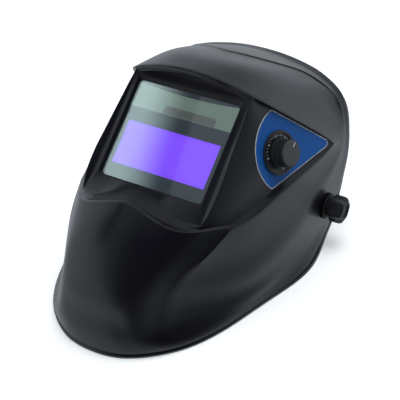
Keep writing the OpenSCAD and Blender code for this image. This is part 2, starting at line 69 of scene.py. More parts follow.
SIDE = Vector((1, 0, 0))
LENS_BACK = Vector(joints["sensitivity_turn"]["axis"]).normalized()
LENS_UP = SIDE.cross(LENS_BACK)
LEAN = math.atan2(-LENS_BACK.z, LENS_BACK.y)
DIAL_IN_LENS = Vector((85.1, 43.3, 41.7)) * MM
DIAL = Vector(joints["shade_turn"]["pos_m"])
DIAL_OUT = Vector(joints["shade_turn"]["axis"]).normalized()
# Lens frame: x to the wearer's left, y back, z up the lens, origin at the violet window's centre
LENS = basis(SIDE, LENS_BACK, LENS_UP, DIAL) @ Matrix.Translation(-DIAL_IN_LENS)
# Dial frame: z out of the side panel, x back along the panel, y up it
DIAL_UP = (LENS_UP - DIAL_OUT * LENS_UP.dot(DIAL_OUT)).normalized()
DIAL_FRAME = basis(DIAL_UP.cross(DIAL_OUT), DIAL_UP, DIAL_OUT, DIAL)
PIVOT = Vector(joints["headgear_tilt"]["pos_m"])
HEAD_BACK = Vector(joints["fore_aft"]["axis"]).normalized()
# Head frame: x to the wearer's left, y to the back of the head, z to its top, origin on the pivot axis
HEAD = basis(SIDE, HEAD_BACK, SIDE.cross(HEAD_BACK), PIVOT)

# ---------------------------------------------------------------- node materials


class Paint:
    """A node material under construction: short calls that add a node and link its inputs."""

    def __init__(self, name):
        self.material = bpy.data.materials.new(name)
        self.material.use_nodes = True
        self.tree = self.material.node_tree
        self.shader = self.tree.nodes["Principled BSDF"]
        self.output = self.tree.nodes["Material Output"]
        self.coords = self.tree.nodes.new("ShaderNodeTexCoord").outputs["Object"]

    def node(self, kind, **settings):
        made = self.tree.nodes.new("ShaderNode" + kind)
        for key, value in settings.items():
            setattr(made, key, value)
        return made

    def feed(self, socket, value):
        """Links value into socket when it is an output, and stores it when it is a number or a colour."""
        if isinstance(value, bpy.types.NodeSocket):
            self.tree.links.new(value, socket)
        elif isinstance(value, tuple) and len(value) == 3 and socket.type == "RGBA":
            socket.default_value = (*value, 1)
        else:
            socket.default_value = value

    def set(self, **inputs):
        for key, value in inputs.items():
            self.feed(self.shader.inputs[key.replace("_", " ")], value)

    def noise(self, scale, detail=3, rough=0.55, stretch=None):
        made = self.node("TexNoise")
        made.inputs["Scale"].default_value = scale
        made.inputs["Detail"].default_value = detail
        made.inputs["Roughness"].default_value = rough
        self.feed(made.inputs["Vector"], self.stretched(stretch) if stretch else self.coords)
        return made.outputs["Fac"]

    def stretched(self, scale):
        made = self.node("Mapping")
        self.feed(made.inputs["Vector"], self.coords)
        made.inputs["Scale"].default_value = scale
        return made.outputs["Vector"]

    def cells(self, scale, feature="F1"):
        made = self.node("TexVoronoi", feature=feature)
        made.inputs["Scale"].default_value = scale
        self.feed(made.inputs["Vector"], self.coords)
        return made.outputs["Distance"]

    def math(self, operation, a, b=0.0):
        made = self.node("Math", operation=operation)
        self.feed(made.inputs[0], a)
        self.feed(made.inputs[1], b)
        return made.outputs[0]

    def ramp(self, value, *stops):
        """Colour ramp over (position, colour) stops."""
        made = self.node("ValToRGB")
        elements = made.color_ramp.elements
        while len(elements) < len(stops):
            elements.new(0.5)
        for element, (place, colour) in zip(elements, stops):
            element.position = place
            element.color = (*colour, 1) if isinstance(colour, tuple) else (colour, colour, colour, 1)
        self.feed(made.inputs["Fac"], value)
        return made.outputs["Color"]

    def spread(self, value, low, high):
        """Maps a 0 to 1 value to the range low to high."""
        made = self.node("MapRange")
        self.feed(made.inputs["Value"], value)
        made.inputs["To Min"].default_value = low
        made.inputs["To Max"].default_value = high
        return made.outputs["Result"]

    def mix(self, factor, a, b):
        made = self.node("Mix", data_type="RGBA")
        self.feed(made.inputs[0], factor)
        self.feed(made.inputs[6], a)
        self.feed(made.inputs[7], b)
        return made.outputs[2]

    def along(self, direction, origin):
        """Distance of a point from origin along direction, in metres."""
        less = self.node("VectorMath", operation="SUBTRACT")
        self.feed(less.inputs[0], self.coords)
        less.inputs[1].default_value = origin
        dot = self.node("VectorMath", operation="DOT_PRODUCT")
        self.feed(dot.inputs[0], less.outputs["Vector"])
        dot.inputs[1].default_value = direction
        return dot.outputs["Value"]

    def bump(self, *layers):
        """Stacks (height, strength, distance) layers into one normal."""
        normal = None
        for height, strength, distance in layers:
            made = self.node("Bump")
            made.inputs["Strength"].default_value = strength
            made.inputs["Distance"].default_value = distance
            self.feed(made.inputs["Height"], height)
            if normal:
                self.feed(made.inputs["Normal"], normal)
            normal = made.outputs["Normal"]
        self.feed(self.shader.inputs["Normal"], normal)


def worn_edges(p, base, worn, amount):
    """Lightens convex edges, where handling rubs the surface."""
    pointiness = p.node("NewGeometry").outputs["Pointiness"]
    edge = p.ramp(pointiness, (0.51, 0.0), (0.60, 1.0))
    patchy = p.math("MULTIPLY", edge, p.spread(p.noise(60, 4), 0.0, amount))
    return p.mix(patchy, base, worn)


def moulded(name, colour, rough, grain=0.1, grain_scale=1800, lighter=1.5, coat=0.0):
    """Moulded plastic: fine spark grain, faint flow mottling, rubbed edges."""
    p = Paint(name)
    mottled = p.mix(p.noise(14, 4), colour, tuple(c * 1.18 for c in colour))
    p.set(Base_Color=worn_edges(p, mottled, tuple(c * lighter + 0.004 for c in colour), 0.5),
          Roughness=p.spread(p.noise(35, 5), rough - 0.05, rough + 0.05),
          Specular_IOR_Level=0.5, Coat_Weight=coat, Coat_Roughness=0.12)
    p.bump((p.noise(grain_scale, 2), grain, 0.0003), (p.noise(9, 2), 0.04, 0.002))
    return p.material


def shell_plastic():
    """Satin nylon of the face shell."""
    p = Paint("shell_nylon")
    black = (0.0042, 0.0042, 0.0072)
    mottled = p.mix(p.noise(7, 4), black, (0.0060, 0.0060, 0.0092))
    p.set(Base_Color=worn_edges(p, mottled, (0.024, 0.025, 0.029), 0.35),
          Roughness=p.spread(p.noise(22, 5), 0.27, 0.33),
          Specular_IOR_Level=0.62, Coat_Weight=0.10, Coat_Roughness=0.2)
    p.bump((p.noise(2200, 2), 0.08, 0.0003), (p.noise(420, 3), 0.02, 0.0005))
    return p.material


def clear_plastic(name, tint, haze=0.03):
    """Thin clear sheet: lets light through and mirrors the room weakly, with faint wiping marks."""
    p = Paint(name)
    see = p.node("BsdfTransparent")
    see.inputs["Color"].default_value = (*tint, 1)
    gloss = p.node("BsdfGlossy")
    p.feed(gloss.inputs["Roughness"], p.spread(p.noise(90, 5, 0.7, (1, 6, 1)), haze * 0.4, haze * 1.6))
    fresnel = p.node("Fresnel")
    fresnel.inputs["IOR"].default_value = 1.5
    blend = p.node("MixShader")
    p.feed(blend.inputs[0], fresnel.outputs[0])
    p.feed(blend.inputs[1], see.outputs[0])
    p.feed(blend.inputs[2], gloss.outputs[0])
    p.feed(p.output.inputs["Surface"], blend.outputs[0])
    return p.material


def filter_glass():
    """Violet interference coating of the liquid crystal window, a little deeper toward its edges; its brightness is
    painted light, a glow standing in for the coating's reflection.
    """
    p = Paint("filter_glass")
    violet = (0.255, 0.095, 1.0)
    across = p.math("ABSOLUTE", p.along(LENS_UP, LENS.translation))
    edge = p.ramp(p.math("MULTIPLY", across, 40.0), (0.70, 0.0), (0.9, 0.5))
    cloud = p.mix(p.noise(18, 3), violet, (0.27, 0.10, 1.0))
    body = p.mix(edge, cloud, (0.20, 0.07, 0.92))
    # painted light: the window glows with its own violet, in place of the bright reflection of its coating
    p.set(Base_Color=body, Roughness=p.spread(p.noise(50, 3), 0.06, 0.12), Metallic=0.2,
          Emission_Color=body, Emission_Strength=0.72)
    return p.material


def filter_face():
    """Printed face of the cartridge: dark bands, and a pale solar zone under a curved dark upper band, which is a
    painted reflection of the brow's underside; the face also glows with painted light.
    """
    p = Paint("filter_face")
    height = p.along(LENS_UP, LENS.translation)
    across = p.along(SIDE, LENS.translation)
    # painted reflection: above this arched line the pale zone turns dark, the brow's underside mirrored in the
    # clear cover
    arch = p.math("MULTIPLY", p.math("MULTIPLY", across, across), REFLECTION_CURVE)
    above = p.math("GREATER_THAN", height, SOLAR_LOW * MM)
    below = p.math("LESS_THAN", p.math("SUBTRACT", height, arch), REFLECTION_EDGE * MM)
    zone = p.math("MULTIPLY", above, below)
    dark = p.mix(p.noise(30, 3), (0.062, 0.078, 0.098), (0.070, 0.087, 0.108))
    pale = p.mix(p.noise(24, 3), (0.25, 0.33, 0.285), (0.27, 0.35, 0.305))
    ink = p.mix(zone, dark, pale)
    # painted light: the printed face glows a little, in place of the light reaching it through the cover
    p.set(Base_Color=ink, Roughness=p.spread(p.noise(60, 4), 0.16, 0.26),
          Emission_Color=ink, Emission_Strength=PAINTED_GLOW)
    p.bump((p.noise(1500, 2), 0.04, 0.0002))
    return p.material


def solar_glass():
    """Smoked glass over the solar cell, with the cell's fine collector lines."""
    p = Paint("solar_glass")
    lines = p.node("TexWave", wave_type="BANDS", bands_direction="X")
    lines.inputs["Scale"].default_value = 320
    lines.inputs["Distortion"].default_value = 0
    p.feed(lines.inputs["Vector"], p.coords)
    fine = p.ramp(lines.outputs["Fac"], (0.90, 0.0), (0.97, 0.35))
    ink = p.mix(fine, (0.165, 0.172, 0.172), (0.21, 0.22, 0.225))
    # painted light: the solar window glows a little, in place of the light reaching it through the cover
    p.set(Base_Color=ink, Roughness=p.spread(p.noise(70, 3), 0.12, 0.22), Coat_Weight=0.4,
          Coat_Roughness=0.05, Emission_Color=ink, Emission_Strength=PAINTED_GLOW)
    return p.material


def printed_film(name, colour, rough=0.28):
    """Printed label film with a fine screen pattern and faint orange peel."""
    p = Paint(name)
    dots = p.ramp(p.cells(3200), (0.25, 1.0), (0.45, 0.0))
    shade = p.mix(p.math("MULTIPLY", dots, 0.10), colour, tuple(c * 1.3 + 0.01 for c in colour))
    p.set(Base_Color=shade, Roughness=p.spread(p.noise(45, 4), rough - 0.05, rough + 0.07),
          Specular_IOR_Level=0.18)
    p.bump((p.noise(500, 2), 0.05, 0.0003))
    return p.material


def plated(name, colour, rough):
    """Plated metal with fine turning marks and a few scratches."""
    p = Paint(name)
    scratches = p.ramp(p.noise(260, 6, 0.75, (1, 9, 1)), (0.62, 0.0), (0.72, 1.0))
    p.set(Base_Color=p.mix(p.noise(30, 4), colour, tuple(c * 0.8 for c in colour)), Metallic=1.0,
          Roughness=p.spread(p.noise(120, 5), rough - 0.08, rough + 0.1))
    p.bump((scratches, 0.08, 0.0002), (p.noise(900, 2), 0.06, 0.0002))
    return p.material


def board_mask():
    """Solder mask over copper tracks."""
    p = Paint("board_mask")
    tracks = p.node("TexBrick")
    tracks.inputs["Scale"].default_value = 260
    p.feed(tracks.inputs["Vector"], p.coords)
    p.set(Base_Color=p.mix(tracks.outputs["Fac"], (0.012, 0.10, 0.035), (0.03, 0.19, 0.07)),
          Roughness=p.spread(p.noise(80, 3), 0.25, 0.4), Coat_Weight=0.4)
    p.bump((tracks.outputs["Fac"], 0.2, 0.0002))
    return p.material


def terry():
    """Looped terry over foam: a fine raised weave with lint."""
    p = Paint("terry_cloth")
    loops = p.cells(1300)
    fuzz = p.noise(2600, 3, 0.7)
    p.set(Base_Color=p.mix(p.ramp(loops, (0.1, 1.0), (0.7, 0.0)), (0.012, 0.0125, 0.014),
                           (0.045, 0.046, 0.05)),
          Roughness=p.spread(fuzz, 0.82, 0.98), Sheen_Weight=0.45, Sheen_Roughness=0.5)
    p.bump((loops, 0.75, 0.0007), (fuzz, 0.35, 0.0003))
    return p.material


def room_light(tree, direction):
    """Light arriving from a direction: dark round the camera, bright behind the object, dimmer overhead."""
    def node(kind, **settings):
        made = tree.nodes.new(kind)
        for key, value in settings.items():
            setattr(made, key, value)
        return made
    toward = node("ShaderNodeVectorMath", operation="DOT_PRODUCT")
    tree.links.new(direction, toward.inputs[0])
    toward.inputs[1].default_value = ROOM_DARK
    level = node("ShaderNodeMapRange", interpolation_type="SMOOTHSTEP")
    tree.links.new(toward.outputs["Value"], level.inputs["Value"])
    level.inputs["From Min"].default_value = 0.78
    level.inputs["From Max"].default_value = 0.08
    level.inputs["To Min"].default_value = 0.02
    level.inputs["To Max"].default_value = ROOM_LIGHT
    split = node("ShaderNodeSeparateXYZ")
    tree.links.new(direction, split.inputs["Vector"])
    overhead = node("ShaderNodeMapRange")
    tree.links.new(split.outputs["Z"], overhead.inputs["Value"])
    overhead.inputs["To Min"].default_value = 1.0
    overhead.inputs["To Max"].default_value = 0.38
    both = node("ShaderNodeMath", operation="MULTIPLY")
    tree.links.new(level.outputs["Result"], both.inputs[0])
    tree.links.new(overhead.outputs["Result"], both.inputs[1])
    return both.outputs[0]


def floor_paper():
    """Matt studio paper: white to the camera; the object sees the room's light bounced off it."""
    p = Paint("floor_paper")
    seen = p.node("LightPath").outputs["Is Camera Ray"]
    paper = p.mix(p.noise(3, 3), (0.90, 0.90, 0.905), (0.93, 0.93, 0.93))
    away = p.node("VectorMath", operation="SCALE")
    p.feed(away.inputs[0], p.node("NewGeometry").outputs["Incoming"])
    away.inputs["Scale"].default_value = -1.0
    bounce = p.math("MULTIPLY", room_light(p.tree, away.outputs["Vector"]), FLOOR_BOUNCE)
    glow = p.node("Mix")
    p.feed(glow.inputs[0], seen)
    p.feed(glow.inputs[2], bounce)
    far = p.node("VectorMath", operation="LENGTH")
    p.feed(far.inputs[0], p.coords)
    lift = p.node("MapRange", interpolation_type="SMOOTHSTEP")
    p.feed(lift.inputs["Value"], far.outputs["Value"])
    lift.inputs["From Min"].default_value = 0.6
    lift.inputs["From Max"].default_value = 2.5
    lift.inputs["To Min"].default_value = FLOOR_LIFT
    p.feed(glow.inputs[3], lift.outputs["Result"])
    p.set(Base_Color=p.mix(seen, (0.06, 0.06, 0.062), paper), Roughness=0.9, Specular_IOR_Level=0.1,
          Emission_Color=p.mix(seen, ROOM_COLOUR, (1.0, 1.0, 1.0)), Emission_Strength=glow.outputs[0])
    p.bump((p.noise(900, 3), 0.05, 0.0003))
    return p.material


SHELL = shell_plastic()
CLEAR = clear_plastic("clear_cover", (0.97, 0.985, 0.98))
BLACK = moulded("black_plastic", (0.010, 0.010, 0.011), 0.36)
RECESS = moulded("recess_plastic", (0.006, 0.006, 0.007), 0.5)
KNOB = moulded("knob_plastic", (0.016, 0.0165, 0.018), 0.40, 0.15, 1500)
KNOB_FACE = moulded("knob_face", (0.050, 0.053, 0.057), 0.42, 0.12, 1300)
CASE = moulded("case_plastic", (0.020, 0.021, 0.024), 0.45, 0.2, 1100)
BAND = moulded("band_nylon", (0.019, 0.020, 0.022), 0.42, 0.08, 900)
RUBBER = moulded("rubber", (0.011, 0.011, 0.0115), 0.62, 0.25, 900)
RED = moulded("button_plastic", (0.36, 0.045, 0.02), 0.3, 0.05, 900)
BLUE = printed_film("decal_blue", (0.011, 0.098, 0.36), 0.42)
WHITE_INK = printed_film("white_ink", (0.62, 0.64, 0.66), 0.4)
STEEL = plated("zinc_plate", (0.62, 0.62, 0.63), 0.32)
TERRY = terry()
FILTER_FACE = filter_face()
THREAD = moulded("thread", (0.10, 0.105, 0.115), 0.7, 0.5, 5200)

# ---------------------------------------------------------------- mesh helpers


def mesh_piece(name, verts, faces, material, smooth=True):
    """New object from row-frame points, smooth shaded unless smooth is False."""
    mesh = bpy.data.meshes.new(name)
    mesh.from_pydata([tuple(v) for v in verts], [], [tuple(f) for f in faces])
    mesh.materials.append(material)
    obj = bpy.data.objects.new(name, mesh)
    bpy.context.scene.collection.objects.link(obj)
    if smooth:
        mesh.shade_smooth()
    return obj


def apply_modifiers(obj):
    """Bakes the object's modifiers into its mesh."""
    depsgraph = bpy.context.evaluated_depsgraph_get()
    baked = bpy.data.meshes.new_from_object(obj.evaluated_get(depsgraph))
    obj.modifiers.clear()
    obj.data = baked


def soften(obj, width, segments=3, angle=35):
    """Rounds the edges that are sharper than angle, as moulding does."""
    bevel = obj.modifiers.new("rounded", "BEVEL")
    bevel.width = width
    bevel.segments = segments
    bevel.limit_method = "ANGLE"
    bevel.angle_limit = math.radians(angle)
    bevel.harden_normals = False
    apply_modifiers(obj)
    obj.data.shade_smooth()
    smooth_by_angle(obj, 40)


def smooth_by_angle(obj, angle):
    """Marks edges sharper than angle so that flat faces stay flat."""
    bm = bmesh.new()
    bm.from_mesh(obj.data)
    for edge in bm.edges:
        edge.smooth = len(edge.link_faces) != 2 or edge.calc_face_angle(0) < math.radians(angle)
    bm.to_mesh(obj.data)
    bm.free()


def lathe(name, profile, frame_matrix, material, segments=96, radius_at=None):
    """Turns a profile of (radius, height) in millimetres round the frame's z axis; radius_at shapes the rim by angle."""
    verts, faces = [], []
    for i in range(segments):
        a = 2 * math.pi * i / segments
        for r, h in profile:
            rr = r if radius_at is None else radius_at(r, h, a)
            verts.append(frame_matrix @ (Vector((rr * math.cos(a), rr * math.sin(a), h)) * MM))
    n = len(profile)
    for i in range(segments):
        for k in range(n - 1):
            a, b = i * n + k, ((i + 1) % segments) * n + k
            faces.append((a, b, b + 1, a + 1))
    obj = mesh_piece(name, verts, faces, material)
    bm = bmesh.new()
    bm.from_mesh(obj.data)
    bmesh.ops.remove_doubles(bm, verts=bm.verts, dist=2e-6)
    bmesh.ops.recalc_face_normals(bm, faces=bm.faces)
    bm.to_mesh(obj.data)
    bm.free()
    smooth_by_angle(obj, 38)
    return obj


def bore(obj, holes):
    """Cuts round holes, each a centre, a direction, and a radius and half depth in millimetres."""
    bm = bmesh.new()
    for centre, direction, radius, half in holes:
        turn = direction.to_track_quat("Z", "Y").to_matrix().to_4x4()
        bmesh.ops.create_cone(bm, cap_ends=True, segments=48, radius1=radius * MM, radius2=radius * MM,
                              depth=2 * half * MM, matrix=Matrix.Translation(centre) @ turn)
    cut_away(obj, bm)


def cut_away(obj, bm):
    """Subtracts the closed shapes in bm from the object."""
    mesh = bpy.data.meshes.new("cutter")
    bm.to_mesh(mesh)
    bm.free()
    cutter = bpy.data.objects.new("cutter", mesh)
    bpy.context.scene.collection.objects.link(cutter)
    cut = obj.modifiers.new("cut", "BOOLEAN")
    cut.operation = "DIFFERENCE"
    cut.solver = "EXACT"
    cut.object = cutter
    apply_modifiers(obj)
    bpy.data.objects.remove(cutter)


def place(obj, body, slot_name, *replaced):
    """Hands a finished piece to its body and hides the CAD nodes it stands for; slot_name is not used."""
    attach(obj, body)
    if replaced:
        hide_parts(*replaced)
    return obj


def repaint(node_name, material, edge):
    """Gives a CAD node that stays in view its material and, where edge is not zero, rounded edges."""
    obj = nodes[node_name]
    obj.data.materials.clear()
    obj.data.materials.append(material)
    if edge:
        bevel = obj.modifiers.new("rounded", "BEVEL")
        bevel.width = edge * MM
        bevel.segments = 2
        bevel.limit_method = "ANGLE"
        bevel.angle_limit = math.radians(50)

# ---------------------------------------------------------------- the shell's skin

# Slope of the flat side panel in the lens frame
PANEL_OUT = LENS.to_3x3().transposed() @ DIAL_OUT


def on_panel(y, z):
    """Point of the flat side panel at a given depth and height, in lens-frame millimetres."""
    d = DIAL_IN_LENS / MM
    return (d.x - (PANEL_OUT.y * (y - d.y) + PANEL_OUT.z * (z - d.z)) / PANEL_OUT.x, y, z)


CHIN = (0.0, 13.3, -189.5)


def on_rim(x, back, up):
    """Point of the lower rim: sideways, back from the chin's tip, and above the bench."""
    return (x, CHIN[1] + back * math.cos(LEAN) - up * math.sin(LEAN),
            CHIN[2] + back * math.sin(LEAN) + up * math.cos(LEAN))


# Control rings round the lens, from the opening to the rim: left half, top centre to bottom centre
RINGS = {
    "opening": [(0, -5, 65), (32, -5, 65), (55.5, -5, 65), (55.5, -5, 50), (55.5, -5, 5),
                (55.5, -5, -12), (55.5, -5, -24), (55.5, -5, -32), (55.5, -5, -37.5), (42, -5.5, -37.5),
                (25, -6.5, -37.5), (12, -7.5, -37.5), (0, -8, -37.5)],
    "bezel": [(0, -5, 74.2), (32, -5, 73), (60.5, -5, 69), (60.5, -4, 54), (60.7, -3.8, 5),
              (61, -3.8, -15), (61.2, -3.8, -32), (61.6, -3.9, -44), (62, -5, -54), (42, -12, -56.2),
              (27, -15.5, -50.8), (12, -15.5, -43.6), (0, -14.5, -41.3)],
    "flank": [(0, -21, 72), (32, -17, 70.8), (60.9, -5.3, 69.2), on_panel(-5.4, 54), on_panel(-6.2, 5),
              on_panel(-6.2, -15), (67, -6.2, -32), (65.4, -5.8, -45), (63, -5.2, -55.5), (43.5, -19, -64.5),
              (27, -26, -62.3), (12, -29.5, -58.3), (0, -30.5, -56.3)],
    "panel_foot": [(0, -22, 73.2), (32, -18, 71.9), (61.2, -5.6, 69.7), on_panel(17.6, 73.3),
                   on_panel(104.5, 82.8), on_panel(75.7, 42.6), on_panel(52.7, 10.6), on_panel(35.7, -14.4),
                   on_panel(18.5, -39.6), (45, -20.5, -65.8), (27, -28, -64), (12, -31.3, -60), (0, -32.3, -58)],
    "step": [(0, -23, 75.6), (32, -19, 74.3), (62.5, -6, 71.5), (84.3, 37.3, 76.6),
             (111.4, 106.8, 82.8), (104.4, 72.7, 34.6), (97.9, 50.7, 3.6), (91.7, 35.2, -21.1),
             (82, 17, -44), (46, -22.5, -68), (27, -30, -66), (12, -33.3, -62), (0, -34.5, -60)],
    "body": [(0, -4, 96), (33, 2, 97.5), (65, 30, 101), (85, 70, 105), (110, 124, 93), (107, 100, 32),
             (102, 80, -12), (94, 60, -45), (73.5, 9, -75), (40, -27, -86), (24, -33.5, -84),
             (11, -36.5, -82), (0, -37.5, -81.5)],
    "crease": [(0, 30, 121), (34, 52, 129), (72, 94, 138.5), (90, 108, 133), (109.5, 131, 99),
               (110, 120, 30), (107, 100, -22), (98, 72, -65), (60, 2, -108), (38, -26, -112),
               (24, -31.5, -112), (11, -34.5, -112), (0, -35.5, -112)],
    "facet": [(0, 62, 139.5), (36, 78, 143), (72, 101, 142.5), (91, 110.5, 135), (109.2, 134, 101.5),
              (110.5, 138, 30), (108, 116, -29), (99, 82, -75), (55, 10, -136), (35, -16.5, -143),
              (23, -22, -144), (11, -24, -145), (0, -24.5, -145)],
    "riser": [(0, 98, 156), (38, 104, 154.5), (72, 107, 146), (92, 113, 136), (109, 138, 104),
              (110.8, 155, 30), (109, 126, -33), (102, 88, -80), (56, 17, -152), (36, -3.5, -160),
              (24, -7.5, -161), (11, -9.5, -162), (0, -10, -162)],
    "rear_band": [(0, 104, 161.5), (39, 110, 160.5), (74, 113, 151.5), (94, 118, 140.5),
                  (109.5, 143, 107), (110.8, 172, 28), (111, 134, -36), (103, 94, -82),
                  (59, 21.5, -161), (38, 6, -170), (25, 1, -173), (12, -1, -174.5), (0, -1.5, -175)],
    "rim": [(0, 150, 163), (42, 150, 160), (79, 151, 145.5), (100, 155, 121.5), (108.6, 169, 83),
            on_rim(110.5, 278, 6), on_rim(121, 203, 0.8), on_rim(107, 140, 0.3),
            on_rim(62, 30.5, 0), on_rim(42.5, 13, 0), on_rim(27, 4.4, 0), on_rim(13, 0.8, 0),
            on_rim(0, 0, 0)],
}
RING_NAMES = list(RINGS)
NET = np.array([RINGS[name] for name in RING_NAMES], float)
TOP_CORNER, PANEL_START, PANEL_TIP, HEEL, LOW_CORNER = 2, 3, 4, 5, 8
CROWN_CRISP = [1, 1, 1, 0.5] + [0] * 9
CORNER_CRISP = [1, 1, 1, 1, 1, 1, 0.9, 0.8, 0.5, 0.2, 0]     # the lower corner's line fades out toward the rim
WALL = 3.0
ROUND = 0.9          # size of the rounding at the shell's crisp edges
BEAD = 3.2           # width of the rolled bead along the rim
COLUMN_STEPS = 12    # pieces of skin between neighbouring columns
CREASE_POINT = 33    # place of the crown's crease along each column of the skin
STEP_LIFTS = [0.9, 0.95, 0.85, 0.65, 0.4, 0.15]
STEP_END = 3.3       # column by which the crown's step has faded out
SCALE_MARKS = 25     # marks round the shade knob
KNOB_RIBS = 60
LOBES = 6
LOBE_DEPTH = 2.4
FLIP_X = np.array([-1.0, 1.0, 1.0])


def across_crisp(ring, column):
    """How crisp a ring's line is where it crosses a column."""
    name = RING_NAMES[ring]
    if column == LOW_CORNER:
        return CORNER_CRISP[ring]
    if ring < 4 and column == TOP_CORNER:
        return 1.0
    if name in ("flank", "panel_foot") and column == PANEL_START:
        return 1.0
    if name in ("panel_foot", "step") and column == PANEL_TIP:
        return 0.75
    return 0.8 if ring == len(NET) - 1 and column == HEEL else 0.0


def along_crisp(ring, column):
    """How crisp a column is where it crosses a ring."""
    if ring <= 4:
        return 1.0
    return CROWN_CRISP[column] if RING_NAMES[ring] in ("crease", "riser", "rear_band") else 0.0


def slopes(line, crisp, closed):
    """Slope per millimetre before and after each point of a line."""
    first = line[1] * FLIP_X if closed else 2 * line[0] - line[1]
    last = line[-2] * FLIP_X if closed else 2 * line[-1] - line[-2]
    ext = np.vstack([first, line, last])
    step = np.diff(ext, axis=0)
    size = np.linalg.norm(step, axis=1, keepdims=True)
    unit = step / size
    smooth = (unit[:-1] * size[1:] + unit[1:] * size[:-1]) / (size[1:] + size[:-1])
    crisp = np.asarray(crisp, float)[:, None]
    return smooth * (1 - crisp) + unit[:-1] * crisp, smooth * (1 - crisp) + unit[1:] * crisp


def cubic(a, b, slope_a, slope_b, t):
    """Points of the cubic from a to b at parameters t."""
    reach = np.linalg.norm(b - a)
    t = np.asarray(t, float)[:, None]
    return (a * (2 * t**3 - 3 * t**2 + 1) + slope_a * reach * (t**3 - 2 * t**2 + t)
            + b * (3 * t**2 - 2 * t**3) + slope_b * reach * (t**3 - t**2))


def ring_line(net, ring, steps):
    """One ring's left half, steps pieces between neighbouring columns."""
    line = net[ring]
    before, after = slopes(line, [across_crisp(ring, k) for k in range(len(line))], True)
    parts = [cubic(line[k], line[k + 1], after[k], before[k + 1], np.arange(steps) / steps)
             for k in range(len(line) - 1)]
    return np.vstack(parts + [line[-1:]])


def segment_steps(ring, reach, bead):
    """Parameters of the points that one column takes between two rings."""
    if ring < 4:
        cut = min(0.4, ROUND / reach)
        return [0, cut, 0.5, 1 - cut]
    if ring == 4:
        cut = min(0.2, ROUND / reach)
        return [0, cut] + list(np.linspace(cut, 1, 9)[1:-1])
    if ring == len(NET) - 2 and bead:
        lip = [1 - d / reach for d in (BEAD * 2.4, BEAD * 1.7, BEAD * 1.35, BEAD * 1.1, BEAD * 0.85,
                                       BEAD * 0.55, BEAD * 0.25)]
        return list(np.linspace(0, max(0.3, lip[0] - 0.06), 5)) + lip
    count = 12 if ring == len(NET) - 2 else 8
    return list(np.arange(count) / count)


def column_line(line, crisp, bead):
    """One column from the opening to the rim, with the crisp corners slightly rounded."""
    before, after = slopes(line, crisp, False)
    parts, corners, count = [], [], 0
    for r in range(len(line) - 1):
        reach = np.linalg.norm(line[r + 1] - line[r])
        t = segment_steps(r, reach, bead)
        if 0 < r <= 4:
            corners.append(count)
        parts.append(cubic(line[r], line[r + 1], after[r], before[r + 1], t))
        count += len(t)
    points = np.vstack(parts + [line[-1:]])
    rounded = points.copy()
    for i in corners:
        rounded[i] = 0.5 * points[i] + 0.25 * (points[i - 1] + points[i + 1])
    return rounded


def skin(net, steps, bead):
    """The whole skin as a grid of points: columns round the lens by points along each column."""
    lines = [ring_line(net, r, steps) for r in range(len(net))]
    weights = np.array([[along_crisp(r, k) for k in range(net.shape[1])] for r in range(len(net))])
    half = []
    for j in range(len(lines[0])):
        crisp = [np.interp(j / steps, range(net.shape[1]), row) for row in weights]
        half.append(column_line(np.array([line[j] for line in lines]), crisp, bead))
    half = np.array(half)
    return np.concatenate([half, half[-2:0:-1] * FLIP_X])


def grid_normals(grid):
    """Unit normals of a closed grid, pointing out of the shell."""
    across = np.roll(grid, -1, 0) - np.roll(grid, 1, 0)
    along = np.gradient(grid, axis=1)
    n = np.cross(along, across)
    n /= np.linalg.norm(n, axis=2, keepdims=True)
    centre = grid.mean((0, 1))
    return n if ((grid - centre) * n).sum() > 0 else -n


def inner_net():
    """Control rings of the wall's inner skin."""
    inner = NET.copy()
    up = np.array([0, -math.sin(LEAN), math.cos(LEAN)])
    last = len(NET) - 1
    for r in range(len(NET)):
        ahead = 5 if 2 <= r <= 4 else min(r + 1, last)
        behind = 1 if 2 <= r <= 4 else max(r - 1, 0)
        for k in range(NET.shape[1]):
            left = NET[r][k + 1] if k < NET.shape[1] - 1 else NET[r][k - 1] * FLIP_X
            right = NET[r][k - 1] if k > 0 else NET[r][1] * FLIP_X
            n = np.cross(left - right, NET[ahead][k] - NET[behind][k])
            if r == last and k >= HEEL:
                n = n - up * n.dot(up)
            inner[r][k] -= n / np.linalg.norm(n) * WALL
            if k in (0, NET.shape[1] - 1):
                inner[r][k][0] = 0
    return inner


def add_bead(grid):
    """Raises a rolled bead along the rim with a shallow groove above it."""
    normals = grid_normals(grid)
    raised = grid.copy()
    for back, lift in ((1, 0.35), (2, 0.75), (3, 0.8), (4, 0.3), (5, -0.45), (6, -0.35)):
        raised[:, -1 - back] += normals[:, -1 - back] * lift
    return raised


def add_crown_step(grid):
    """Raises the crown behind its crease by a small step that fades out toward the sides."""
    normals = grid_normals(grid)
    raised = grid.copy()
    for j in range(len(grid)):
        share = min(1.0, max(0.0, STEP_END - min(j, len(grid) - j) / COLUMN_STEPS))
        crease, beyond = grid[j, CREASE_POINT], grid[j, CREASE_POINT + 1]
        raised[j, CREASE_POINT + 1] = beyond + (crease - beyond) * 0.6 * share
        for ahead, lift in enumerate(STEP_LIFTS, 1):
            raised[j, CREASE_POINT + ahead] += normals[j, CREASE_POINT + ahead] * lift * share
    return raised


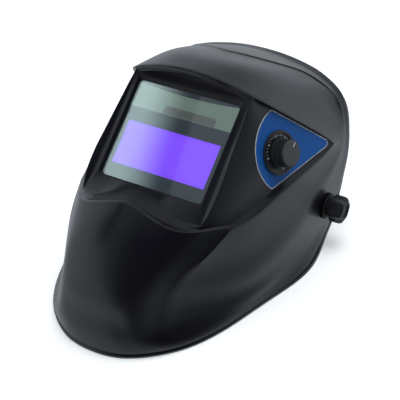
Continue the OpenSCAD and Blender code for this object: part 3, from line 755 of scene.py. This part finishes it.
def shell_piece():
    outer = add_crown_step(add_bead(skin(NET, COLUMN_STEPS, True)))
    inner = skin(inner_net(), COLUMN_STEPS, False)
    across, deep, deep_in = outer.shape[0], outer.shape[1], inner.shape[1]
    verts = [LENS @ (Vector(p) * MM) for p in outer.reshape(-1, 3)]
    verts += [LENS @ (Vector(p) * MM) for p in inner.reshape(-1, 3)]
    start = across * deep
    faces = []
    for j in range(across):
        k = (j + 1) % across
        faces += [(j * deep + i, j * deep + i + 1, k * deep + i + 1, k * deep + i)
                  for i in range(deep - 1)]
        faces += [(start + k * deep_in + i, start + k * deep_in + i + 1, start + j * deep_in + i + 1,
                   start + j * deep_in + i) for i in range(deep_in - 1)]
        faces.append((j * deep, k * deep, start + k * deep_in, start + j * deep_in))
        faces.append((j * deep + deep - 1, start + j * deep_in + deep_in - 1,
                      start + k * deep_in + deep_in - 1, k * deep + deep - 1))
    obj = mesh_piece("shell_skin", verts, faces, SHELL)
    bm = bmesh.new()
    bm.from_mesh(obj.data)
    bmesh.ops.recalc_face_normals(bm, faces=bm.faces)
    bm.to_mesh(obj.data)
    bm.free()
    bore(obj, [(Vector((side * 109 * MM, PIVOT.y, PIVOT.z)), SIDE, 5.05, 12) for side in (-1, 1)]
         + [(DIAL, DIAL_OUT, 3.55, 8)])
    smooth_by_angle(obj, 24)
    return place(obj, "shell", "shell", "shell")

# ---------------------------------------------------------------- lens opening


def rounded_rectangle(x0, x1, z0, z1, r, y, per_corner=8):
    """Points round a rounded rectangle in the lens frame, in millimetres, anticlockwise from the front."""
    points = []
    for cx, cz, turn in ((x1 - r, z1 - r, 0), (x0 + r, z1 - r, 90), (x0 + r, z0 + r, 180),
                         (x1 - r, z0 + r, 270)):
        for i in range(per_corner + 1):
            a = math.radians(turn + 90 * i / per_corner)
            points.append(Vector((cx + r * math.cos(a), y, cz + r * math.sin(a))))
    return points


def bridge(name, loops, material):
    """Skins between loops of equal length, each a closed ring of lens-frame points in millimetres."""
    n = len(loops[0])
    verts = [LENS @ (p * MM) for loop in loops for p in loop]
    faces = [(k * n + i, k * n + (i + 1) % n, (k + 1) * n + (i + 1) % n, (k + 1) * n + i)
             for k in range(len(loops) - 1) for i in range(n)]
    obj = mesh_piece(name, verts, faces, material)
    smooth_by_angle(obj, 40)
    return obj


def bezel_lining():
    """Drafted black lining between the shell's opening and the clear cover."""
    lip = [(0.25, 65.25, 1.2, -4.9), (0.1, 65.1, 1.2, -5.15), (-0.5, 64.5, 1.6, -5.1),
           (-0.9, 64.1, 2.2, -4.7), (-2.0, 61.5, 4.6, -1.5)]
    loops = [rounded_rectangle(-55.5 - d, 55.5 + d, -37.5 - d, top, r, y) for d, top, r, y in lip]
    return place(bridge("bezel_lining", loops, RECESS), "shell", "shell")

def solar_tab():
    """Smoked solar cell window with rounded upper corners."""
    outline = [(35.4, 36.0), (-19.4, 36.0)]
    for cx, turn in ((-15.4, 180), (31.4, 90)):
        for i in range(9):
            a = math.radians(turn - 90 * i / 8)
            outline.append((cx + 4 * math.cos(a), 40 + 4 * math.sin(a)))
    loops = [[Vector((x, y, z)) for x, z in outline] for y in (0.15, 0.9)]
    obj = bridge("solar_window", loops, solar_glass())
    bm = bmesh.new()
    bm.from_mesh(obj.data)
    bm.verts.ensure_lookup_table()
    bm.faces.new([bm.verts[i] for i in range(len(outline))])
    bmesh.ops.recalc_face_normals(bm, faces=bm.faces)
    bm.to_mesh(obj.data)
    bm.free()
    return place(obj, "shell", "solar", "solar_cell")

# ---------------------------------------------------------------- shade control


def dial_point(u, v, h):
    return DIAL_FRAME @ (Vector((u, v, h)) * MM)


def sheet(name, outline, h0, h1, material):
    """Thin flat piece with this (u, v) outline in the dial frame, in millimetres."""
    bm = bmesh.new()
    low = [bm.verts.new(dial_point(u, v, h0)) for u, v in outline]
    high = [bm.verts.new(dial_point(u, v, h1)) for u, v in outline]
    bm.faces.new(high)
    for i in range(len(outline)):
        k = (i + 1) % len(outline)
        bm.faces.new((low[i], low[k], high[k], high[i]))
    bmesh.ops.recalc_face_normals(bm, faces=bm.faces)
    mesh = bpy.data.meshes.new(name)
    bm.to_mesh(mesh)
    bm.free()
    mesh.materials.append(material)
    obj = bpy.data.objects.new(name, mesh)
    bpy.context.scene.collection.objects.link(obj)
    return obj


def grown(points, radius):
    """Outline of a convex anticlockwise polygon grown by radius, with round corners."""
    out = []
    for i, (x, y) in enumerate(points):
        before, after = points[i - 1], points[(i + 1) % len(points)]
        start = math.atan2(before[0] - x, y - before[1])
        turn = math.atan2(x - after[0], after[1] - y) - start
        turn = (turn + math.pi) % (2 * math.pi) - math.pi
        steps = max(1, math.ceil(abs(turn) / 0.15))
        out += [(x + radius * math.cos(start + turn * s / steps), y + radius * math.sin(start + turn * s / steps))
                for s in range(steps + 1)]
    return out


def decal_outline(radius):
    """Rounded sector: an arc toward the lens, two straight edges and a tip toward the back."""
    arc = [math.radians(a) for a in range(150, 267, 4)]
    return grown([(8.5 + 38 * math.cos(a), 8.2 + 38 * math.sin(a)) for a in arc] + [(56, 36)], radius)


def decal_pieces():
    border = sheet("decal_border", decal_outline(4.0), 0.02, 0.55, WHITE_INK)
    place(border, "shell", "decal", "side_decal")
    place(sheet("decal_field", decal_outline(3.3), 0.3, 0.62, BLUE), "shell", "decal")

def dial_ring():
    """Recessed black ring round the knob, with a light scale from fine to bold."""
    profile = [(7.1, 0.75), (7.1, 2.15), (17.9, 2.15), (18.15, 2.3), (18.3, 2.9), (18.6, 3.1), (19.2, 3.15),
               (20.4, 3.15), (20.85, 3.0), (21, 2.6), (21, 0.8), (20.9, 0.75), (7.1, 0.75)]
    ring = lathe("scale_ring", profile, DIAL_FRAME, KNOB, 160)
    place(ring, "shell", "knob", "dial_ring")
    for i in range(SCALE_MARKS):
        a = math.radians(225 - 270 * i / (SCALE_MARKS - 1))
        bold = i % 4 == 0
        inner, outer, half = (14.9, 17.4, 0.34) if bold else (15.9, 17.2, 0.18)
        along = Vector((math.cos(a), math.sin(a)))
        aside = Vector((-math.sin(a), math.cos(a))) * half
        corners = [along * inner - aside, along * outer - aside, along * outer + aside, along * inner + aside]
        mark = sheet("scale_mark_%02d" % i, [tuple(c) for c in corners], 2.1, 2.24, WHITE_INK)
        place(mark, "shell", "decal")


def ribbed(r, h, a):
    """Rim radius of the shade knob: fine grip ribs between its skirt and its face."""
    if r < 12.6 or h < 5.6 or h > 15.6:
        return r
    return r - 0.42 * abs(math.sin(a * KNOB_RIBS / 2)) ** 3


def shade_knob():
    profile = [(3.1, 3.5), (13.9, 3.5), (14.0, 3.7), (14.0, 5.0), (13.8, 5.35), (13.1, 5.5), (13.0, 5.8),
               (13.0, 15.4), (12.85, 15.75), (12.6, 16.0), (12.1, 16.1), (11.95, 15.9), (11.7, 15.85)]
    body = lathe("shade_knob_body", profile, DIAL_FRAME, KNOB, 540, ribbed)
    place(body, "shade_control", "knob", "shade_knob")
    face = lathe("shade_knob_face", [(11.75, 15.7), (11.7, 16.15), (11.45, 16.38), (11.0, 16.48), (9.5, 16.5),
                                     (0.0, 16.5)], DIAL_FRAME, KNOB_FACE, 96)
    place(face, "shade_control", "knob")
    pointer = sheet("shade_knob_pointer", [(-0.45, 6.5), (0.45, 6.5), (0.45, 11.0), (-0.45, 11.0)], 16.4, 16.56,
                    WHITE_INK)
    place(pointer, "shade_control", "knob")


# ---------------------------------------------------------------- pivots


def lobed(r, h, a):
    """Rim radius of a pivot knob: six soft lobes that fade toward its hub and its dished end."""
    if r < 9.6:
        return r
    dip = (0.5 - 0.5 * math.cos(LOBES * a)) ** 0.9
    fade = min(1.0, (r - 9.6) / 3.0)
    return r - LOBE_DEPTH * dip * fade


def pivot_knob(side, name):
    """Lobed clamping knob with a rounded end and a dished centre."""
    frame_at = basis(Vector((0, 1, 0)), Vector((0, 0, side)), SIDE * side, Vector((0, PIVOT.y, PIVOT.z)))
    profile = [(4.3, 114.0), (9.1, 114.0), (9.4, 114.3), (9.45, 116.4), (9.9, 117.0), (12.4, 117.1),
               (13.4, 117.5), (13.9, 118.5), (14.0, 120.0), (14.0, 126.8), (13.8, 128.6), (13.1, 130.3),
               (12.0, 131.4), (10.8, 131.9), (9.7, 131.7), (9.0, 131.0), (8.4, 130.0), (7.4, 129.4),
               (5.6, 129.4), (4.2, 129.9), (2.4, 130.3), (0.0, 130.4)]
    knob = lathe(name + "_grip", profile, frame_at, KNOB, 216, lobed)
    place(knob, name, "knob", name)


def washer_faces():
    """Friction washers with a rounded outer edge and a shallow groove."""
    for side, tag in ((1, "left"), (-1, "right")):
        frame_at = basis(Vector((0, 1, 0)), Vector((0, 0, side)), SIDE * side, Vector((0, PIVOT.y, PIVOT.z)))
        profile = [(5.2, 111.45), (12.9, 111.45), (13.3, 111.7), (13.5, 112.2), (13.5, 113.1), (13.3, 113.5),
                   (12.9, 113.75), (12.2, 113.8), (11.9, 113.55), (11.3, 113.55), (11.0, 113.8), (5.2, 113.8),
                   (5.2, 111.45)]
        washer = lathe("friction_washer_" + tag, profile, frame_at, RUBBER, 96)
        place(washer, "shell", "washer", *(("outer_washers",) if side > 0 else ()))


# ---------------------------------------------------------------- headgear

FRONT_BEND = -15.0        # centre of the headband's front bend, back from the pivot
REAR_BEND = 20.0          # centre of the size band's rear bend
PAD_VOXEL = 2.6           # voxel size of the pads' remesh
HEM = 3.6                 # distance of the sewn rows from a pad's edge
STITCH = 4.4              # spacing of the stitches
STRAP_AT = -1.0           # the crown straps' place along the head
BAND_R = 77.0             # inside radius of the size band
REAR_BAND_H = 26.0
TAIL_GAP = 6.5            # height of the size band's toothed edges above and below the pinion
GRIPS = 10


def head_point(x, y, z):
    return HEAD @ (Vector((x, y, z)) * MM)


def sweep(name, path, half_width, thickness, material, spread_along):
    """Flat strip along a path of (point, normal) pairs in the head frame; spread_along is its width's direction."""
    verts, faces = [], []
    wide = Vector(spread_along)
    for point, normal in path:
        for depth, side in ((0, -1), (0, 1), (1, 1), (1, -1)):
            at = Vector(point) + Vector(normal) * thickness * depth + wide * half_width(point) * side
            verts.append(head_point(*at))
    count = len(path)
    for i in range(count - 1):
        a, b = i * 4, (i + 1) * 4
        faces += [(a + k, a + (k + 1) % 4, b + (k + 1) % 4, b + k) for k in range(4)]
    faces += [(3, 2, 1, 0), tuple((count - 1) * 4 + k for k in range(4))]
    obj = mesh_piece(name, verts, faces, material)
    bm = bmesh.new()
    bm.from_mesh(obj.data)
    bmesh.ops.recalc_face_normals(bm, faces=bm.faces)
    bm.to_mesh(obj.data)
    bm.free()
    return obj


def arc_path(centre_y, radius, start, end, step=2.0):
    """Path round the head at one height, in the head frame, with normals pointing out."""
    count = max(2, round(abs(end - start) / step))
    angles = [math.radians(start + (end - start) * i / count) for i in range(count + 1)]
    return [((radius * math.cos(a), centre_y + radius * math.sin(a), 0), (math.cos(a), math.sin(a), 0))
            for a in angles]


def stadium(bm, centre, out, along, length, radius, depth):
    """Adds a closed slot-shaped prism to bm; sizes in millimetres, directions in the head frame."""
    out, along = Vector(out).normalized(), Vector(along).normalized()
    across = out.cross(along)
    rings = []
    for level in (-depth / 2, depth / 2):
        ring = []
        for end, turn in ((1, -90), (-1, 90)):
            for i in range(9):
                a = math.radians(turn + 180 * i / 8)
                at = (Vector(centre) + out * level + along * (end * (length / 2 - radius) + radius * math.cos(a))
                      + across * radius * math.sin(a))
                ring.append(bm.verts.new(head_point(*at)))
        rings.append(ring)
    low, high = rings
    bm.faces.new(low)
    bm.faces.new(high)
    for i in range(len(low)):
        k = (i + 1) % len(low)
        bm.faces.new((low[i], low[k], high[k], high[i]))
    bmesh.ops.recalc_face_normals(bm, faces=bm.faces)


def block(name, x, y, z, material, round_by=1.0):
    """Rounded box in the head frame between these millimetre ranges."""
    verts = [head_point(a, b, c) for a in x for b in y for c in z]
    faces = [(0, 1, 3, 2), (4, 6, 7, 5), (0, 4, 5, 1), (2, 3, 7, 6), (0, 2, 6, 4), (1, 5, 7, 3)]
    obj = mesh_piece(name, verts, faces, material)
    bm = bmesh.new()
    bm.from_mesh(obj.data)
    bmesh.ops.recalc_face_normals(bm, faces=bm.faces)
    bm.to_mesh(obj.data)
    bm.free()
    soften(obj, round_by * MM)
    return obj


def headband():
    """Moulded headband: a vented front bend, side arms, and rails for the pivot's slide blocks."""
    front = sweep("headband_front", arc_path(FRONT_BEND, 79, 180, 360), lambda p: 14, 1.8, BAND, (0, 0, 1))
    vents = bmesh.new()
    for row, length in ((-8.5, 9), (0, 14), (8.5, 9)):
        for a in range(204, 341, 14):
            t = math.radians(a)
            out = (math.cos(t), math.sin(t), 0)
            centre = (80 * out[0], FRONT_BEND + 80 * out[1], row)
            stadium(vents, centre, out, (-out[1], out[0], 0), length, 1.7, 8)
    cut_away(front, vents)
    soften(front, 0.45 * MM, 2)
    place(front, "headgear", "headgear", "headband")
    for side, tag in ((1, "left"), (-1, "right")):
        def across(near, far):
            return sorted((side * near, side * far))
        pieces = (("arm", (79, 80.8), (FRONT_BEND, 36), (-9, 9), 0.7),
                  ("rail", (95, 98), (-46, 38), (-7, 7), 1.1),
                  ("front_post", (77.5, 98), (-46, -37), (-8, 8), 1.6),
                  ("rear_post", (79.5, 98), (30, 36), (-8, 8), 1.6))
        for part, x, y, z, round_by in pieces:
            place(block("headband_%s_%s" % (part, tag), across(*x), y, z, BAND, round_by), "headgear", "headgear")


def crown_strap(tag, side, lift, node_name):
    """Strap from one side arm over the crown, with adjusting holes in its free end."""
    radius = 79 + 1.8 + 1 - 1 + 0.1 + lift
    rise = [((side * radius, STRAP_AT, z), (side, 0, 0)) for z in range(-7, 20, 3)]
    count = 52
    angles = [math.radians(104 * i / count) for i in range(count + 1)]
    arch = [((side * radius * math.cos(a), STRAP_AT, 20 + radius * math.sin(a)),
             (side * math.cos(a), 0, math.sin(a))) for a in angles]
    strap = sweep("crown_strap_" + tag + "_web", rise + arch, lambda p: 10, 1.6, BAND, (0, 1, 0))
    holes = bmesh.new()
    for degrees in list(range(66, 103, 6)) + [12, 24]:
        a = math.radians(degrees)
        out = (side * math.cos(a), 0, math.sin(a))
        centre = (radius * out[0], STRAP_AT, 20 + radius * out[2])
        stadium(holes, centre, out, (0, 1, 0), 4.4 if degrees > 60 else 11, 2.2 if degrees > 60 else 1.8, 8)
    cut_away(strap, holes)
    soften(strap, 0.4 * MM, 2)
    place(strap, "headgear", "headgear", node_name)


def rear_band(tag, side, body, node_name):
    """Size band: full height in its sleeve, then half height with a toothed edge through the ratchet."""
    def path(start, end):
        return [((side * x, y, z), (side * nx, ny, nz))
                for (x, y, z), (nx, ny, nz) in arc_path(REAR_BEND, BAND_R, start, end, 1.0)]
    half = REAR_BAND_H / 2
    wide = sweep(tag + "_band_web", path(-10, 50), lambda p: half, 1.6, BAND, (0, 0, 1))
    slots = bmesh.new()
    for degrees in range(2, 44, 7):
        a = math.radians(degrees)
        out = (side * math.cos(a), math.sin(a), 0)
        stadium(slots, (78 * out[0], REAR_BEND + 78 * out[1], 0), out, (0, 0, 1), half * 1.1, 1.3, 8)
    cut_away(wide, slots)
    soften(wide, 0.4 * MM, 2)
    place(wide, body, "headgear", node_name)
    low, high = (TAIL_GAP, half) if side > 0 else (-half, -TAIL_GAP)
    middle, reach = (low + high) / 2, (high - low) / 2
    tail = [((x, y, middle), n) for (x, y, z), n in path(49.6, 108)]
    strip = sweep(tag + "_band_tail", tail, lambda p: reach, 1.6, BAND, (0, 0, 1))
    teeth = bmesh.new()
    for i in range(18):
        a = math.radians(52 + i * 3.1)
        out = (side * math.cos(a), math.sin(a), 0)
        edge = (78 * out[0], REAR_BEND + 78 * out[1], low if side > 0 else high)
        stadium(teeth, edge, out, (0, 0, 1), 3.2, 0.85, 8)
    cut_away(strip, teeth)
    place(strip, body, "headgear")


def scalloped(r, h, a):
    """Rim radius of the ratchet knob: a ring of finger grips that fade out toward its face and its foot."""
    if r < 20:
        return r
    dip = (0.5 + 0.5 * math.cos(GRIPS * a)) ** 3
    return r - 2.7 * dip * min(1.0, (r - 20) / 3.0) * min(1.0, max(0.0, (h - 2.6) / 1.4))


def ratchet_knob():
    """Finger wheel with a dished face and a raised turning grip across it."""
    behind = REAR_BEND + BAND_R + 6 + 0.5
    frame_at = HEAD @ basis(Vector((1, 0, 0)), Vector((0, 0, -1)), Vector((0, 1, 0)),
                            Vector((0, behind, 0)) * MM)
    profile = [(4.5, 0.0), (24.2, 0.0), (24.7, 0.3), (25.0, 1.0), (25.0, 11.4), (24.6, 12.8), (23.6, 13.7),
               (22.2, 14.0), (20.6, 13.8), (19.6, 13.0), (18.8, 12.2), (15.0, 11.7), (7.0, 11.5), (0.0, 11.5)]
    knob = lathe("ratchet_wheel", profile, frame_at, KNOB, 240, scalloped)
    place(knob, "ratchet", "knob", "ratchet_knob")
    grip = block("ratchet_wheel_grip", (-16.5, 16.5), (behind + 11.2, behind + 13.9), (-3.2, 3.2), KNOB, 1.2)
    place(grip, "ratchet", "knob")
    for side in (-1, 1):
        for i in range(5):
            at = side * (6.0 + 2.1 * i)
            rib = block("ratchet_wheel_rib_%d_%d" % (side + 1, i), (at - 0.45, at + 0.45),
                        (behind + 13.4, behind + 14.0), (-2.6, 2.6), KNOB, 0.2)
            place(rib, "ratchet", "knob")


# ---------------------------------------------------------------- padding


def inflate(obj, pressure, cap):
    """Swells the piece as air-filled cloth; no point ends farther than cap from where it began."""
    before = [v.co.copy() for v in obj.data.vertices]
    cloth = obj.modifiers.new("swell", "CLOTH").settings
    cloth.use_pressure = True
    cloth.uniform_pressure_force = pressure
    cloth.effector_weights.gravity = 0
    for step in range(1, 21):
        bpy.context.scene.frame_set(step)
    apply_modifiers(obj)
    bpy.context.scene.frame_set(1)
    for vertex, start in zip(obj.data.vertices, before):
        move = vertex.co - start
        if move.length > cap:
            vertex.co = start + move * (cap / move.length)


def reshape(obj, change):
    """Moves every point of the piece by a function of its head-frame millimetres."""
    back = HEAD.inverted()
    for vertex in obj.data.vertices:
        vertex.co = HEAD @ (change((back @ vertex.co) / MM) * MM)


def pad(name, node_name, centre_y, rest_r, middle, half_angle, half_height, quilts):
    """Terry-covered foam pad round part of the head: swollen by simulation, flat where it rests, then sewn."""
    obj = nodes[node_name].copy()
    obj.data = nodes[node_name].data.copy()
    obj.name = name
    bpy.context.scene.collection.objects.link(obj)
    remesh = obj.modifiers.new("voxels", "REMESH")
    remesh.mode = "VOXEL"
    remesh.voxel_size = PAD_VOXEL * MM
    shrink = obj.modifiers.new("shrink", "DISPLACE")
    shrink.strength = -0.5 * MM
    shrink.mid_level = 0
    apply_modifiers(obj)
    inflate(obj, 4.0, 2.4 * MM)
    relax = obj.modifiers.new("relax", "SMOOTH")
    relax.iterations = 3
    finer = obj.modifiers.new("finer", "SUBSURF")
    finer.levels = 1
    apply_modifiers(obj)
    channels = [middle + half_angle * (2 * (i + 1) / (quilts + 1) - 1) for i in range(quilts)]

    def sewn(p):
        flat = Vector((p.x, p.y - centre_y))
        r = flat.length
        angle = math.degrees(math.atan2(flat.y, flat.x)) % 360
        target = min(r, rest_r)
        if r < rest_r - 1.6:
            hem = abs(abs(p.z) - (half_height - HEM)) / 1.2
            row = min(abs(angle - c) for c in channels) * math.radians(1) * r / 1.2
            ends = abs(abs(angle - middle) - (half_angle - math.degrees(HEM / r))) * math.radians(1) * r / 1.2
            target += 1.5 * max(math.exp(-hem * hem), math.exp(-ends * ends), 0.8 * math.exp(-row * row))
        flat *= min(target, rest_r) / r
        return Vector((flat.x, flat.y + centre_y, p.z))

    reshape(obj, sewn)
    obj.data.materials.clear()
    obj.data.materials.append(TERRY)
    obj.data.shade_smooth()
    place(obj, "headgear", "foam", node_name)
    rows = []
    reach = half_angle - math.degrees(HEM / rest_r)
    for z in (-half_height + HEM, half_height - HEM):
        count = round(2 * math.radians(reach) * rest_r / STITCH)
        rows.append([(middle + reach * (2 * (i + 0.5) / count - 1), z, 0) for i in range(count)])
    for angle in [middle - reach, middle + reach] + channels:
        count = round(2 * (half_height - HEM) / STITCH)
        rows.append([(angle, (half_height - HEM) * (2 * (i + 0.5) / count - 1), 1) for i in range(count)])
    stitches(name + "_stitching", obj, centre_y, [spot for row in rows for spot in row])


def stitches(name, cloth, centre_y, spots):
    """Row of short threads lying on the cloth's inner face, each given by angle, height and direction."""
    bm = bmesh.new()
    for degrees, z, upright in spots:
        a = math.radians(degrees)
        start = head_point(0, centre_y, z)
        out = (HEAD.to_3x3() @ Vector((math.cos(a), math.sin(a), 0))).normalized()
        found, at, normal, face = cloth.ray_cast(start, out)
        if not found:
            continue
        run = HEAD.to_3x3() @ (Vector((0, 0, 1)) if upright else Vector((-math.sin(a), math.cos(a), 0)))
        turn = run.to_track_quat("Z", "Y").to_matrix().to_4x4()
        size = Matrix.Diagonal((0.36 * MM, 0.36 * MM, 0.33 * STITCH * MM, 1))
        bmesh.ops.create_uvsphere(bm, u_segments=8, v_segments=6, radius=1.0,
                                  matrix=Matrix.Translation(at - out * 0.15 * MM) @ turn @ size)
    mesh = bpy.data.meshes.new(name)
    bm.to_mesh(mesh)
    bm.free()
    mesh.materials.append(THREAD)
    mesh.shade_smooth()
    obj = bpy.data.objects.new(name, mesh)
    bpy.context.scene.collection.objects.link(obj)
    place(obj, "headgear", "foam")


# ---------------------------------------------------------------- studio


def studio():
    floor = mesh_piece("floor", [(-6, -6, 0), (6, -6, 0), (6, 6, 0), (-6, 6, 0)], [(0, 1, 2, 3)],
                       floor_paper(), False)
    for name, at, size, power in (("key_top", (0.3, 0.4, 2.4), 1.6, 40),
                                  ("front_left", (-1.9, -1.3, 1.3), 1.8, 22),
                                  ("front_right", (1.4, -2.2, 1.2), 1.6, 18)):
        light = bpy.data.lights.new(name, "AREA")
        light.size = size
        light.energy = power
        light.color = (0.93, 0.97, 1.0)
        holder = bpy.data.objects.new(name, light)
        holder.location = at
        holder.rotation_euler = (Vector((0, 0, 0.1)) - Vector(at)).to_track_quat("-Z", "Y").to_euler()
        holder.visible_glossy = False
        bpy.context.scene.collection.objects.link(holder)


def glow(name):
    """Light of the reflector card: full on its left, fading out to its right and toward its ends."""
    p = Paint(name)
    side = p.node("SeparateXYZ")
    p.feed(side.inputs["Vector"], p.coords)
    fade = p.node("MapRange", interpolation_type="SMOOTHSTEP")
    p.feed(fade.inputs["Value"], side.outputs["X"])
    fade.inputs["From Min"].default_value = CARD_FULL * MM
    fade.inputs["From Max"].default_value = CARD_NONE * MM
    fade.inputs["To Min"].default_value = CARD_LIGHT
    fade.inputs["To Max"].default_value = 0.0
    light = p.node("Emission")
    light.inputs["Color"].default_value = (0.76, 0.98, 1.0, 1)
    p.feed(light.inputs["Strength"], fade.outputs["Result"])
    p.feed(p.output.inputs["Surface"], light.outputs[0])
    return p.material


def reflector_card():
    """Card to the left of the camera that only shows as a soft sheen on the clear cover and the gloss."""
    corners = [(-1100, -150), (CARD_NONE + 20, -150), (CARD_NONE + 20, 760), (-1100, 760)]
    mesh = bpy.data.meshes.new("reflector_card")
    mesh.from_pydata([(x * MM, 0, z * MM) for x, z in corners], [], [(0, 1, 2, 3)])
    mesh.materials.append(glow("card_glow"))
    card = bpy.data.objects.new("reflector_card", mesh)
    card.matrix_world = (LENS @ Matrix.Translation((34 * MM, -1000 * MM, 0))
                         @ Matrix.Rotation(-CARD_TURN, 4, "Y"))
    card.visible_camera = False
    card.visible_diffuse = False
    card.visible_shadow = False
    card.visible_transmission = False
    bpy.context.scene.collection.objects.link(card)
    glazing = bpy.data.collections.new("glazing")
    glazing.objects.link(nodes["cover_lens"])
    card.light_linking.receiver_collection = glazing


def sky():
    """White for the camera; for the object the uneven light of the room."""
    world = bpy.data.worlds.new("studio")
    bpy.context.scene.world = world
    world.use_nodes = True
    tree = world.node_tree
    background = tree.nodes["Background"]
    seen = tree.nodes.new("ShaderNodeLightPath").outputs["Is Camera Ray"]
    level = tree.nodes.new("ShaderNodeMix")
    tree.links.new(seen, level.inputs[0])
    direction = tree.nodes.new("ShaderNodeTexCoord").outputs["Generated"]
    tree.links.new(room_light(tree, direction), level.inputs[2])
    level.inputs[3].default_value = 1.0
    tree.links.new(level.outputs[0], background.inputs["Strength"])
    tint = tree.nodes.new("ShaderNodeMix")
    tint.data_type = "RGBA"
    tree.links.new(seen, tint.inputs[0])
    tint.inputs[6].default_value = (*ROOM_COLOUR, 1)
    tint.inputs[7].default_value = (1, 1, 1, 1)
    tree.links.new(tint.outputs[2], background.inputs["Color"])


CAMERA_AT = Vector((417, -793, -182)) * MM       # in the lens frame
CAMERA_RIGHT = Vector((0.86690, 0.33022, 0.37342))
CAMERA_UP = Vector((-0.27781, -0.30193, 0.91195))


def camera():
    data = bpy.data.cameras.new("camera")
    data.lens = 90
    data.sensor_width = 36
    obj = bpy.data.objects.new("camera", data)
    local = basis(CAMERA_RIGHT, CAMERA_UP, CAMERA_RIGHT.cross(CAMERA_UP), CAMERA_AT)
    obj.matrix_world = LENS @ local
    bpy.context.scene.collection.objects.link(obj)
    bpy.context.scene.camera = obj


shell_piece()
bezel_lining()
solar_tab()
decal_pieces()
dial_ring()
shade_knob()
pivot_knob(1, "pivot_knob_left")
pivot_knob(-1, "pivot_knob_right")
washer_faces()
headband()
crown_strap("left", 1, 0.0, "crown_strap_left")
crown_strap("right", -1, 1.7, "crown_strap_right")
rear_band("size_left", 1, "rear_band_left", "rear_band_left")
rear_band("size_right", -1, "rear_band_right", "rear_band_right")
ratchet_knob()
pad("front_pad", "sweatband", FRONT_BEND, 78.85, 270, 58, 17, 5)
pad("nape_pad", "rear_pad", REAR_BEND, 74.85, 90, 24, 20, 1)
for node_name, (paint, edge) in {
    "cover_lens": (CLEAR, 0), "inner_cover_lens": (CLEAR, 0), "lcd_filter": (filter_glass(), 0),
    "adf_front": (FILTER_FACE, 0), "adf_back": (CASE, 0.5), "arc_sensors": (BLACK, 0),
    "circuit_board": (board_mask(), 0), "fixed_cell": (STEEL, 0.2), "coin_cell": (STEEL, 0.2),
    "battery_tray": (CASE, 0.25), "adf_retainer": (FILTER_FACE, 0.3), "latch_left": (KNOB, 0.3),
    "latch_right": (KNOB, 0.3), "sensitivity_knob": (KNOB, 0.2), "delay_knob": (KNOB, 0.2),
    "test_button": (RED, 0.25), "shade_pot": (STEEL, 0.2), "pot_nut": (STEEL, 0.15), "pot_shaft": (STEEL, 0),
    "pot_cable": (RUBBER, 0), "inner_washers": (RUBBER, 0.2), "pivot_bolts": (BAND, 0.3),
    "slide_block_left": (BAND, 0.4), "slide_block_right": (BAND, 0.4), "strap_peg": (BAND, 0.2),
    "ratchet_housing": (BLACK, 0.5), "ratchet_pinion": (BAND, 0),
}.items():
    repaint(node_name, paint, edge)
studio()
reflector_card()
sky()
camera()
bpy.context.scene.view_settings.view_transform = "Standard"
